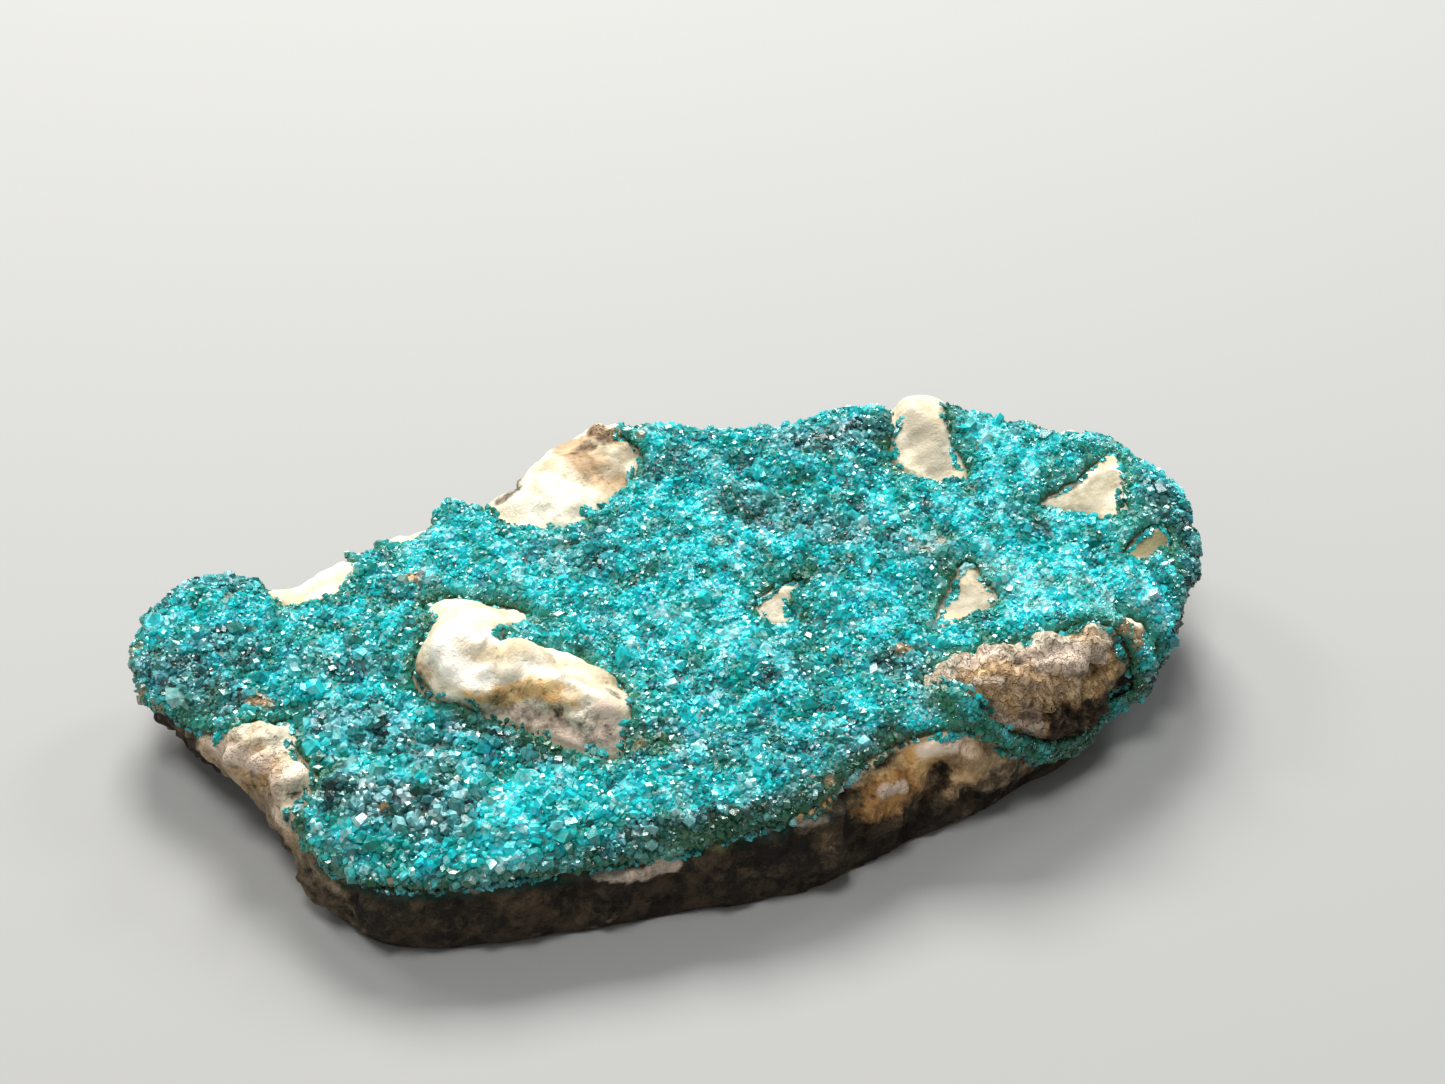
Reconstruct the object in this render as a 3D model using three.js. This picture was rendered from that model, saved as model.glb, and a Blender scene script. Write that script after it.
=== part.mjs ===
// Dioptase cluster: a thin hand specimen of pale, rusty carbonate rock whose upper side carries
// one continuous druse of tiny blue-green dioptase crystals.
//
// Two pieces are modelled, in millimetres, +Z up, standing on the flat base of the rock:
//   matrix          the rock slab, with its knobs, ridges and broken sides
//   dioptase_crust  the druse, a skin of fused three-faced crystals that follows the rock, leaves
//                   the bare patches open and laps over the rim in places
//
// Both are laid out on one unrolled plan. Inside the rim a plan point is a point of the upper
// side, seen from above. Outside the rim it lies on the side wall, as far below the rim as the
// plan point is beyond it, until the wall meets the base.

import * as THREE from "three";
import { mergeVertices } from "three/addons/utils/BufferGeometryUtils.js";
import { SimplexNoise } from "three/addons/math/SimplexNoise.js";

// ---- Driving dimensions ------------------------------------------------------------------

const FACET = 1.04; // side of the surface triangles, and so the width of one crystal
const ROCK_HEIGHT = 4.9; // of the rock's upper side at the origin
const RISE_X = 0.05; // the upper side climbs to the right, mm per mm
const RISE_Y = 0.07; // and to the back
const SHOULDER_WIDTH = 1.3; // over which the upper side turns down to the rim
const SHOULDER_DROP = 0.3;
const BASE_CLEARANCE = 0.7; // least height of the crust's lower edge above the base
const CRUST_THICKNESS = 0.9; // from the rock to the valleys between the crystals
const CRUST_EDGE = 0.45; // thickness where the crust ends
const CRUST_TAPER = 1.0; // width over which it thickens from its edge
const CRUST_GAP = 0.06; // between the rock and the underside of the crust
const CRUST_GRAIN = 0.2; // unevenness from one valley to the next
const CRYSTAL_HEIGHT = [0.15, 0.42]; // lowest and highest crystal tip above its own foot
const CRYSTAL_LEAN = 0.6; // lower values set the tips further off the middle of their foot
const LOBE_SWELL = 0.3; // rise and fall of the pillow-like lobes of the crust
const LOBE_SIZE = 4.2;

// The spine is the line that the plan is unrolled from: each plan point belongs to the nearest
// point of the spine, and its ray from there meets the rim once.
const SPINE_LEFT = new THREE.Vector2(-12, -2);
const SPINE_RIGHT = new THREE.Vector2(13, 0.5);

// The rim, anticlockwise from the left tip: x, y, how far the crust laps below the rim (below zero,
// it stops short of it), and how far the foot of the wall stands back under the rim (below zero, it
// stands out from it).
const RIM = [
  [-22.2, 4.0, 0.2, 2.4],
  [-21.8, 1.8, 0.1, 2.9],
  [-20.3, -0.5, -0.1, 2.9],
  [-18.9, -2.9, -0.2, 2.4],
  [-17.9, -5.6, -0.3, 1.7],
  [-16.7, -8.2, -0.1, 0.5],
  [-15.3, -10.3, -0.2, 0.3],
  [-13.2, -11.5, -0.2, 0.3],
  [-10.4, -11.9, 0.0, 0.1],
  [-6.3, -11.9, 0.2, 0.0],
  [-2.4, -11.9, 0.3, -0.2],
  [1.4, -11.8, 0.1, -0.4],
  [4.5, -10.8, -0.3, -0.5],
  [7.1, -10.0, -0.5, -0.5],
  [8.8, -9.6, 0.5, -0.3],
  [10.4, -9.5, 1.9, 0.1],
  [12.4, -8.9, 3.8, 0.3],
  [14.4, -8.3, 4.5, 0.5],
  [16.4, -7.4, 4.3, 1.2],
  [18.2, -6.1, 3.4, 2.0],
  [19.9, -4.4, 2.5, 2.4],
  [21.2, -2.2, 2.3, 2.1],
  [21.7, 0.7, 2.2, 1.6],
  [21.3, 3.9, 2.0, 1.2],
  [19.5, 6.7, 1.2, 1.0],
  [16.8, 8.2, 1.2, 0.8],
  [13.6, 9.6, 1.0, 0.6],
  [10.6, 9.6, 1.6, 0.8],
  [7.4, 8.9, 2.0, 1.0],
  [4.0, 9.9, 1.4, 0.8],
  [1.4, 12.0, 0.4, 0.6],
  [-1.4, 12.4, 0.0, 0.6],
  [-3.9, 10.9, 0.0, 0.8],
  [-5.9, 9.4, 0.6, 1.0],
  [-9.0, 9.0, 1.2, 1.0],
  [-11.8, 8.0, 0.6, 1.2],
  [-13.4, 7.6, 0.0, 1.2],
  [-15.3, 6.4, 0.0, 1.4],
  [-17.6, 7.2, 0.8, 1.6],
  [-19.8, 7.0, 0.8, 2.0],
  [-21.5, 5.9, 0.4, 2.4],
];

// Where the rock shows through the crust, as outlines on the unrolled plan.
const BARE_PATCHES = {
  centre_boomerang: [
    [-10.6, 2.4], [-8.8, 2.7], [-6.1, 1.5], [-6.8, 0.3], [-7.8, -0.6], [-7.5, -1.5], [-6.0, -1.2],
    [-4.5, -2.5], [-3.4, -4.4], [-4.4, -7.7], [-5.5, -7.2], [-7.0, -5.8], [-8.8, -4.3],
    [-10.6, -3.0], [-11.4, -1.6], [-10.8, -0.3], [-10.1, 0.7],
  ],
  back_notch: [[-16.4, 5.6], [-16.6, 9.2], [-13.2, 10.8], [-12.6, 7.2], [-13.2, 5.4], [-14.9, 4.9]],
  back_knob: [
    [-6.7, 8.7], [-6.9, 12.0], [-2.4, 15.8], [1.4, 15.0], [1.1, 12.4], [-0.2, 11.2], [0.6, 9.8],
    [-0.9, 7.6], [-2.9, 6.2], [-5.2, 6.6],
  ],
  saddle: [
    [11.1, 6.4], [12.2, 5.1], [13.3, 4.4], [14.3, 4.6], [14.0, 6.0], [14.1, 8.2], [15.2, 9.6],
    [15.4, 12.0], [12.6, 12.8], [11.9, 10.2], [11.9, 8.2],
  ],
  saddle_side: [[15.7, 8.6], [17.1, 7.7], [18.0, 9.2], [16.6, 10.2]],
  large_triangle: [
    [16.2, 1.9], [17.4, 2.4], [18.4, 2.7], [19.5, 3.4], [20.6, 4.3], [20.7, 3.1], [20.1, 1.6],
    [19.6, 0.6], [19.5, -0.8], [18.6, -0.2], [17.8, 0.7],
  ],
  small_crescent: [[18.3, -2.8], [19.3, -1.7], [20.4, -1.2], [20.9, -2.0], [20.1, -2.7], [19.2, -3.2]],
  arrow: [
    [3.0, -0.4], [4.4, 0.2], [5.8, 0.6], [4.9, -0.5], [4.1, -1.3], [4.8, -2.4], [3.5, -2.2],
    [3.0, -1.3],
  ],
  middle_triangle: [
    [12.3, -0.2], [12.6, -1.6], [12.7, -3.2], [11.2, -3.7], [9.4, -4.5], [10.3, -2.8], [11.2, -1.6],
  ],
  front_lump: [
    [8.0, -7.6], [9.2, -6.6], [10.6, -6.4], [12.4, -6.9], [14.3, -6.7], [15.5, -7.0], [16.8, -8.0],
    [17.9, -9.0], [18.0, -10.0], [17.0, -11.0], [15.6, -11.6], [14.0, -11.8], [12.4, -11.5],
    [11.0, -10.8], [9.8, -9.7],
  ],
  lump_neighbour: [[16.6, -5.6], [17.6, -5.7], [18.2, -6.5], [17.1, -6.8]],
  left_knobs: [
    [-22.8, -0.4], [-20.3, -0.7], [-19.3, -2.3], [-18.1, -2.6], [-16.3, -1.5], [-16.6, -3.6],
    [-16.0, -5.2], [-16.4, -6.6], [-17.3, -7.0], [-17.6, -8.2], [-19.5, -8.6], [-22.8, -5.0],
  ],
  back_chip: [[-11.0, 7.5], [-11.2, 10.4], [-9.0, 10.8], [-9.2, 7.9]],
  right_back_chip: [[18.4, 6.9], [19.4, 6.0], [20.4, 5.6], [21.7, 7.4], [19.6, 9.0]],
};

// Relief of the rock: each rise follows a path and falls away from it over its width.
const RISES = [
  { path: [[-9.6, 1.1], [-8.6, 0.1]], height: 1.3, width: 1.9 }, // pale knob of the boomerang
  { path: [[-10.0, -1.4], [-9.2, -2.6], [-7.4, -3.0], [-4.6, -6.0]], height: 2.1, width: 1.35 },
  { path: [[-3.6, 9.4], [-1.2, 10.8]], height: 1.0, width: 2.2 }, // back knob
  { path: [[12.9, 8.2], [13.3, 9.6]], height: 1.2, width: 1.5 }, // saddle
  { path: [[9.4, -8.6], [11.2, -8.4], [13.0, -8.1], [15.6, -7.5]], height: 1.6, width: 1.5 }, // front lump
  { path: [[-18.7, -2.9], [-17.7, -3.2]], height: 1.3, width: 1.1 }, // three knobs on the left edge
  { path: [[-17.0, -4.9], [-16.9, -5.2]], height: 0.9, width: 0.7 },
  { path: [[-17.2, -6.4], [-17.1, -6.7]], height: 0.6, width: 0.8 },
  { path: [[4.8, -10.6], [5.6, -10.2]], height: 0.5, width: 1.2 }, // smooth swelling above the front wall
  { path: [[19.2, -3.4], [19.8, 1.2]], height: 0.5, width: 1.6 }, // right-hand lobe
  { path: [[4.0, 8.6], [9.6, 8.4]], height: 0.5, width: 1.6 }, // crest along the back
];

// Roughness of the rock: amplitude and wavelength of each layer of noise.
const TOP_SWELL = { amplitude: 0.28, size: 8 };
const TOP_ROUGHNESS = { amplitude: 0.1, size: 2.6 };
const WALL_LUMPS = { amplitude: 0.55, size: 3.4 };
const WALL_ROUGHNESS = { amplitude: 0.22, size: 1.5 };
const WALL_BULGE = 0.35; // the walls stand out most at half their height

// ---- Repeatable chance -------------------------------------------------------------------

function seededRandom(seed) {
  let state = seed;
  return () => {
    state = (Math.imul(state, 1664525) + 1013904223) >>> 0;
    return state / 4294967296;
  };
}

const noise = new SimplexNoise({ random: seededRandom(7) });
const layer = ({ amplitude, size }, x, y, z) => amplitude * noise.noise3d(x / size, y / size, z / size);

// ---- The unrolled plan -------------------------------------------------------------------

const RIM_SAMPLES = 480;
const RIM_STRIDE = 6; // an outline drawn round the rim takes one sample in six
const rimCurve = closedCurve(RIM.map(([x, y, lap]) => [x, y, lap]));
const undercutCurve = closedCurve(RIM.map(([, , , undercut]) => [undercut, 0, 0]));
const rim = sampleRim();

function closedCurve(points) {
  const corners = points.map((p) => new THREE.Vector3(p[0], p[1], p[2] ?? 0));
  return new THREE.CatmullRomCurve3(corners, true, "catmullrom");
}

function sampleRim() {
  return Array.from({ length: RIM_SAMPLES }, (_, i) => {
    const at = rimCurve.getPoint(i / RIM_SAMPLES);
    const undercut = undercutCurve.getPoint(i / RIM_SAMPLES).x;
    return { x: at.x, y: at.y, lap: at.z, undercut };
  });
}

function nearestOnSpine(x, y) {
  const along = SPINE_RIGHT.clone().sub(SPINE_LEFT);
  const share = new THREE.Vector2(x, y).sub(SPINE_LEFT).dot(along) / along.lengthSq();
  return SPINE_LEFT.clone().addScaledVector(along, THREE.MathUtils.clamp(share, 0, 1));
}

// The ray from the spine through a plan point, and where it crosses the rim.
function rimBehind(x, y) {
  const start = nearestOnSpine(x, y);
  const direction = new THREE.Vector2(x, y).sub(start);
  const reach = direction.length();
  if (reach < 1e-9) return { direction: new THREE.Vector2(0, 1), reach: 0, radius: 1, undercut: 0 };
  direction.divideScalar(reach);
  for (let i = 0; i < RIM_SAMPLES; i++) {
    const a = rim[i];
    const b = rim[(i + 1) % RIM_SAMPLES];
    const sideA = direction.x * (a.y - start.y) - direction.y * (a.x - start.x);
    const sideB = direction.x * (b.y - start.y) - direction.y * (b.x - start.x);
    if (sideA > 0 || sideB < 0 || sideA === sideB) continue;
    const t = sideA / (sideA - sideB);
    const crossing = new THREE.Vector2(a.x + t * (b.x - a.x), a.y + t * (b.y - a.y));
    const radius = crossing.clone().sub(start).dot(direction);
    if (radius <= 0) continue;
    const undercut = a.undercut + t * (b.undercut - a.undercut);
    return { direction, reach, radius, crossing, undercut };
  }
  throw new Error(`no rim beyond ${x}, ${y}`);
}

function distanceToPath(x, y, path, closed = false) {
  const p = new THREE.Vector2(x, y);
  const segments = closed ? path.length : path.length - 1;
  let nearest = Infinity;
  for (let i = 0; i < segments; i++) {
    const a = new THREE.Vector2(...path[i]);
    const span = new THREE.Vector2(...path[(i + 1) % path.length]).sub(a);
    const share = THREE.MathUtils.clamp(p.clone().sub(a).dot(span) / span.lengthSq(), 0, 1);
    nearest = Math.min(nearest, p.distanceTo(a.addScaledVector(span, share)));
  }
  return nearest;
}

function isInside(x, y, outline) {
  let inside = false;
  for (let i = 0, j = outline.length - 1; i < outline.length; j = i++) {
    const [xi, yi] = outline[i];
    const [xj, yj] = outline[j];
    if (yi > y !== yj > y && x < ((xj - xi) * (y - yi)) / (yj - yi) + xi) inside = !inside;
  }
  return inside;
}

// ---- The rock's surface ------------------------------------------------------------------

function topHeight(x, y, insideRim) {
  let z = ROCK_HEIGHT + RISE_X * x + RISE_Y * y;
  z += layer(TOP_SWELL, x, y, 0) + layer(TOP_ROUGHNESS, x, y, 5);
  for (const { path, height, width } of RISES) {
    z += height * Math.exp(-((distanceToPath(x, y, path) / width) ** 2));
  }
  const shoulder = Math.max(0, 1 - insideRim / SHOULDER_WIDTH);
  return z - SHOULDER_DROP * shoulder ** 2;
}

const wallLength = (crossing, undercut) => Math.hypot(topHeight(crossing.x, crossing.y, 0), undercut);

// The point of the rock that a plan point stands for.
function rockPoint(x, y) {
  const { direction, reach, radius, crossing, undercut } = rimBehind(x, y);
  if (reach <= radius) return new THREE.Vector3(x, y, topHeight(x, y, radius - reach));
  const down = Math.min(1, (reach - radius) / wallLength(crossing, undercut));
  const z = topHeight(crossing.x, crossing.y, 0) * (1 - down);
  const bulge = WALL_BULGE * Math.sin(Math.PI * down);
  const lumps = layer(WALL_LUMPS, crossing.x, crossing.y, z);
  const roughness = layer(WALL_ROUGHNESS, crossing.x, crossing.y, z + 9);
  const calm = Math.max(0.25, Math.sin(Math.PI * Math.min(1, down + 0.12))) * Math.min(1, down * 4);
  const out = bulge + (lumps + roughness) * calm - undercut * down ** 1.5;
  return new THREE.Vector3(crossing.x + direction.x * out, crossing.y + direction.y * out, z);
}

// ---- Outlines on the plan, as evenly spaced points ---------------------------------------

function evenPoints(outline, spacing) {
  const curve = closedCurve(outline);
  return curve.getSpacedPoints(Math.round(curve.getLength() / spacing)).slice(0, -1).map((p) => [p.x, p.y]);
}

// A copy of the rim moved outwards along its rays by a distance that varies from place to place.
function beyondRim(distanceAt) {
  return rim.filter((_, i) => i % RIM_STRIDE === 0).map((r) => {
    const { direction } = rimBehind(r.x, r.y);
    const distance = distanceAt(new THREE.Vector2(r.x, r.y), r);
    return [r.x + direction.x * distance, r.y + direction.y * distance];
  });
}

const footLine = evenPoints(beyondRim((crossing, { undercut }) => wallLength(crossing, undercut)), FACET);
const rimLine = evenPoints(beyondRim(() => 0), FACET);
const crustLimit = evenPoints(
  beyondRim((crossing, { lap, undercut }) => Math.min(lap, wallLength(crossing, undercut) - BASE_CLEARANCE)),
  FACET,
);
const PATCH_SPACING = FACET * 0.7;
const patchLines = Object.values(BARE_PATCHES).map((outline) => evenPoints(outline, PATCH_SPACING));

const hasCrust = (x, y) => isInside(x, y, crustLimit) && !patchLines.some((line) => isInside(x, y, line));

function distanceToCrustEdge(x, y) {
  const toPatches = patchLines.map((line) => distanceToPath(x, y, line, true));
  return Math.min(distanceToPath(x, y, crustLimit, true), ...toPatches);
}

// ---- Triangulation of the plan -----------------------------------------------------------

const OUTLINE_GAP = FACET * 0.55; // least distance between points on the outlines
const RIM_GAP = FACET * 0.6;
const GRID_GAP = FACET * 0.66; // and from them to the points that fill the plan
const GRID_WANDER = FACET * 0.36;
const GRID_REACH = [34, 24]; // from the middle, past the foot of the wall on every side

function scatterPlanPoints() {
  const random = seededRandom(23);
  const points = footLine.map(([x, y]) => [x, y]);
  const addUnlessNear = (candidates, gap) => {
    for (const [x, y] of candidates) {
      if (points.every(([px, py]) => (px - x) ** 2 + (py - y) ** 2 > gap ** 2)) points.push([x, y]);
    }
  };
  const onRock = (line) => line.filter(([x, y]) => isInside(x, y, footLine));
  for (const line of [crustLimit, ...patchLines]) addUnlessNear(onRock(line), OUTLINE_GAP);
  addUnlessNear(rimLine, RIM_GAP);
  const grid = [];
  const rowStep = FACET * Math.sqrt(0.75);
  const [halfWidth, halfDepth] = GRID_REACH;
  for (let row = 0; row * rowStep < 2 * halfDepth; row++) {
    for (let x = -halfWidth + (row % 2) * FACET * 0.5; x < halfWidth; x += FACET) {
      const wander = () => (random() - 0.5) * GRID_WANDER;
      const [gx, gy] = [x + wander(), row * rowStep - halfDepth + wander()];
      if (isInside(gx, gy, footLine)) grid.push([gx, gy]);
    }
  }
  addUnlessNear(grid, GRID_GAP);
  return points;
}

// Delaunay triangulation by adding one point at a time.
function delaunay(points) {
  const FAR = 500;
  const all = [...points, [-FAR, -FAR], [FAR, -FAR], [0, FAR]];
  const circled = (a, b, c) => {
    const [[ax, ay], [bx, by], [cx, cy]] = [all[a], all[b], all[c]];
    const d = 2 * (ax * (by - cy) + bx * (cy - ay) + cx * (ay - by));
    const [a2, b2, c2] = [ax * ax + ay * ay, bx * bx + by * by, cx * cx + cy * cy];
    const x = (a2 * (by - cy) + b2 * (cy - ay) + c2 * (ay - by)) / d;
    const y = (a2 * (cx - bx) + b2 * (ax - cx) + c2 * (bx - ax)) / d;
    return { corners: d > 0 ? [a, b, c] : [a, c, b], x, y, r2: (ax - x) ** 2 + (ay - y) ** 2 };
  };
  const n = points.length;
  let triangles = [circled(n, n + 1, n + 2)];
  points.forEach(([x, y], i) => {
    const open = new Map();
    triangles = triangles.filter((t) => {
      if ((x - t.x) ** 2 + (y - t.y) ** 2 > t.r2) return true;
      t.corners.forEach((a, k) => {
        const b = t.corners[(k + 1) % 3];
        const back = `${b},${a}`;
        if (open.has(back)) open.delete(back);
        else open.set(`${a},${b}`, [a, b]);
      });
      return false;
    });
    for (const [a, b] of open.values()) triangles.push(circled(a, b, i));
  });
  return triangles.map((t) => t.corners).filter((corners) => corners.every((c) => c < n));
}

const plan = scatterPlanPoints();
const planMiddle = (t) => [0, 1].map((k) => (plan[t[0]][k] + plan[t[1]][k] + plan[t[2]][k]) / 3);
const rockTriangles = delaunay(plan).filter((t) => isInside(...planMiddle(t), footLine));
const rockVertices = plan.map(([x, y]) => rockPoint(x, y));

// ---- Loops and fans ----------------------------------------------------------------------

// The edges that belong to one triangle only, in the direction in which it runs them.
function openEdges(triangles) {
  const edges = new Map();
  for (const t of triangles) {
    t.forEach((a, k) => {
      const b = t[(k + 1) % 3];
      if (edges.has(`${b},${a}`)) edges.delete(`${b},${a}`);
      else edges.set(`${a},${b}`, [a, b]);
    });
  }
  return [...edges.values()];
}

function onlyLoop(edges) {
  const next = new Map(edges);
  const loop = [edges[0][0]];
  for (let v = next.get(loop[0]); v !== loop[0]; v = next.get(v)) loop.push(v);
  if (loop.length !== edges.length) throw new Error("the foot of the wall is not one loop");
  return loop;
}

// Adds the missing triangles round every vertex where two parts of the crust would touch at a
// point only, so that the crust has no pinched corner.
function withoutPinches(chosen) {
  for (;;) {
    const starts = new Map();
    for (const [a] of openEdges(chosen)) starts.set(a, (starts.get(a) ?? 0) + 1);
    const pinched = new Set([...starts].filter(([, count]) => count > 1).map(([v]) => v));
    if (!pinched.size) return chosen;
    const kept = new Set(chosen);
    chosen = rockTriangles.filter((t) => kept.has(t) || t.some((v) => pinched.has(v)));
  }
}

function largestConnected(triangles) {
  const group = new Map();
  const find = (v) => (group.get(v) === v ? v : find(group.get(v)));
  for (const v of new Set(triangles.flat())) group.set(v, v);
  for (const t of triangles) t.forEach((v) => group.set(find(v), find(t[0])));
  const sizes = new Map();
  for (const t of triangles) sizes.set(find(t[0]), (sizes.get(find(t[0])) ?? 0) + 1);
  const largest = [...sizes].sort((a, b) => b[1] - a[1])[0][0];
  return triangles.filter((t) => find(t[0]) === largest);
}

function solidGeometry(triangles) {
  const corners = triangles.flat().flatMap((v) => [v.x, v.y, v.z]);
  const geometry = new THREE.BufferGeometry();
  geometry.setAttribute("position", new THREE.Float32BufferAttribute(corners, 3));
  return mergeVertices(geometry, 1e-4);
}

// ---- The rock ----------------------------------------------------------------------------

function makeMatrix() {
  const foot = onlyLoop(openEdges(rockTriangles));
  for (const v of foot) rockVertices[v].z = 0;
  const footprint = foot.map((v) => new THREE.Vector2(rockVertices[v].x, rockVertices[v].y));
  const base = THREE.ShapeUtils.triangulateShape(footprint, []);
  const downward = base.map(([a, b, c]) => [foot[a], foot[c], foot[b]]);
  return solidGeometry([...rockTriangles, ...downward].map((t) => t.map((v) => rockVertices[v])));
}

// ---- The crust ---------------------------------------------------------------------------

function rockNormals() {
  const normals = rockVertices.map(() => new THREE.Vector3());
  const [edge1, edge2] = [new THREE.Vector3(), new THREE.Vector3()];
  for (const [a, b, c] of rockTriangles) {
    edge1.subVectors(rockVertices[b], rockVertices[a]);
    edge2.subVectors(rockVertices[c], rockVertices[a]);
    const faceNormal = edge1.clone().cross(edge2);
    for (const v of [a, b, c]) normals[v].add(faceNormal);
  }
  return normals.map((n) => n.normalize());
}

// A three-faced tip on each triangle of the crust, like the blunt rhombohedral end of a dioptase
// prism, leaning a little to one of its corners.
function crystalTip(corners, random) {
  const [lowest, highest] = CRYSTAL_HEIGHT;
  const weights = [0, 1, 2].map(() => CRYSTAL_LEAN + random());
  const total = weights[0] + weights[1] + weights[2];
  const tip = new THREE.Vector3();
  corners.forEach((corner, k) => tip.addScaledVector(corner, weights[k] / total));
  const up = corners[1].clone().sub(corners[0]).cross(corners[2].clone().sub(corners[0])).normalize();
  return tip.addScaledVector(up, THREE.MathUtils.lerp(lowest, highest, random()));
}

function makeCrust() {
  const random = seededRandom(41);
  const normals = rockNormals();
  const chosen = rockTriangles.filter((t) => hasCrust(...planMiddle(t)));
  const triangles = largestConnected(withoutPinches(chosen));
  const edges = openEdges(triangles);
  const onEdge = new Set(edges.flat());
  const under = new Map();
  const over = new Map();
  for (const v of new Set(triangles.flat())) {
    const [x, y] = plan[v];
    const fromEdge = onEdge.has(v) ? 0 : Math.min(1, distanceToCrustEdge(x, y) / CRUST_TAPER);
    const rounded = Math.sqrt(1 - (1 - fromEdge) ** 2);
    const lobes = LOBE_SWELL * noise.noise(x / LOBE_SIZE, y / LOBE_SIZE + 20);
    const grain = (random() - 0.5) * CRUST_GRAIN;
    const thickness = THREE.MathUtils.lerp(CRUST_EDGE, CRUST_THICKNESS + lobes, rounded) + grain;
    under.set(v, rockVertices[v].clone().addScaledVector(normals[v], CRUST_GAP));
    over.set(v, rockVertices[v].clone().addScaledVector(normals[v], CRUST_GAP + thickness));
  }
  const faces = [];
  for (const [a, b, c] of triangles) {
    faces.push([under.get(a), under.get(c), under.get(b)]);
    const corners = [over.get(a), over.get(b), over.get(c)];
    const tip = crystalTip(corners, random);
    corners.forEach((corner, k) => faces.push([corner, corners[(k + 1) % 3], tip]));
  }
  for (const [a, b] of edges) {
    faces.push([under.get(a), under.get(b), over.get(b)], [under.get(a), over.get(b), over.get(a)]);
  }
  return solidGeometry(faces);
}

// ---- The specimen ------------------------------------------------------------------------

const stone = (color, roughness) => {
  return new THREE.MeshStandardMaterial({ color, roughness, metalness: 0, flatShading: true });
};

const matrix = new THREE.Mesh(makeMatrix(), stone(0xcbb898, 0.95));
matrix.name = "matrix";
const crust = new THREE.Mesh(makeCrust(), stone(0x0b8f8c, 0.18));
crust.name = "dioptase_crust";

const specimen = new THREE.Group();
specimen.add(matrix, crust);

// The origin is the middle of the footprint, on the base.
const extent = new THREE.Box3().setFromObject(specimen);
const middle = extent.getCenter(new THREE.Vector3());
specimen.position.set(-middle.x, -middle.y, 0);

export default specimen;
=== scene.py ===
# %% [markdown]
# # A dioptase cluster
#
# The specimen is a thin slab of pale carbonate rock, as long as a thumb, and a skin of blue-green
# dioptase crystals has grown over its upper side. Few of the crystals are wider than half a
# millimetre, so together they read as coloured sugar. Two things carry the look: thousands of
# separate glassy crystals, and the stained, pitted stone that shows between them.
#
# The solid model is loaded first. It is the fixed frame: every piece made here goes where its solids
# are, and it is only dressed, never moved.

# %% Load the frame
import math

import bpy
import numpy as np
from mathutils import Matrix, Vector, noise
from mathutils.bvhtree import BVHTree
from mathutils.kdtree import KDTree


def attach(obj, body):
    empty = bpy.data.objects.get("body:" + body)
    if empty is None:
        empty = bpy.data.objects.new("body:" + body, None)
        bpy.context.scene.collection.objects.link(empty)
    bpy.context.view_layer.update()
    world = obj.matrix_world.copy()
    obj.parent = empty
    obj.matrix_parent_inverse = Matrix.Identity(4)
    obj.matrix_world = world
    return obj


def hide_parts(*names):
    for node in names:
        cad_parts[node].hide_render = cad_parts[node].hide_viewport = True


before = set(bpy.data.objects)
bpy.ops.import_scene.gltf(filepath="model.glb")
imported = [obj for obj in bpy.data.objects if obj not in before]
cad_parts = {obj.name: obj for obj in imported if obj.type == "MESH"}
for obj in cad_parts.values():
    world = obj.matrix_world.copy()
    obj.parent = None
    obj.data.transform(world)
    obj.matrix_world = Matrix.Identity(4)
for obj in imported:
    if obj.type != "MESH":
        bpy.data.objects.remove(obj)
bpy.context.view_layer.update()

MM = 0.001


# %% [markdown]
# ## The camera
#
# A small stone is looked at from close by, a little from above, so that both its glittering top and
# its broken front edge show. A 60 mm lens at eleven centimetres keeps the near end from looming. The
# camera is described by where it looks, how far off it stands and its two angles, because those are
# what a photographer would set.

# %% Camera
VIEW_CENTRE = Vector((4.32, 10.6, 0)) * MM
VIEW_DISTANCE = 112 * MM
VIEW_AZIMUTH = math.radians(-15)
VIEW_ELEVATION = math.radians(37)
LENS = 60
SENSOR = 36
FRAME_WIDTH = 1445
FRAME_HEIGHT = 1084
NEAREST_SEEN = 5 * MM
FARTHEST_SEEN = 5


def direction_from(azimuth, elevation):
    """The unit vector that points from the specimen towards a place on a dome around it."""
    flat = math.cos(elevation)
    return Vector((math.sin(azimuth) * flat, -math.cos(azimuth) * flat, math.sin(elevation)))


def show(thing):
    """Puts an object in the scene."""
    bpy.context.scene.collection.objects.link(thing)


def stand_and_look(thing, place, direction):
    """Puts a camera or lamp at a place, facing back along the direction that it stands in."""
    thing.location = place
    thing.rotation_mode = "QUATERNION"
    thing.rotation_quaternion = (-direction).to_track_quat("-Z", "Y")
    show(thing)


camera_data = bpy.data.cameras.new("camera")
camera_data.lens = LENS
camera_data.sensor_width = SENSOR
camera_data.clip_start = NEAREST_SEEN
camera_data.clip_end = FARTHEST_SEEN
camera = bpy.data.objects.new("camera", camera_data)
towards_camera = direction_from(VIEW_AZIMUTH, VIEW_ELEVATION)
stand_and_look(camera, VIEW_CENTRE + towards_camera * VIEW_DISTANCE, towards_camera)
bpy.context.scene.camera = camera
bpy.context.view_layer.update()
print("camera at", [round(v / MM, 1) for v in camera.location], "mm")

# %% [markdown]
# ## Floor and lights
#
# Glassy crystals show what is around them, so the lights are soft boxes: large enough for gentle
# shadows, small enough that a crystal face either catches one and flashes white or misses it and
# stays dark. The key light stands behind the stone. It rakes over the crystals towards the camera,
# which is what makes a druse glitter. The plain pale floor sends a little light back into the shaded
# front edge. The Standard view keeps the blue-green as strong as it is.

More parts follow.
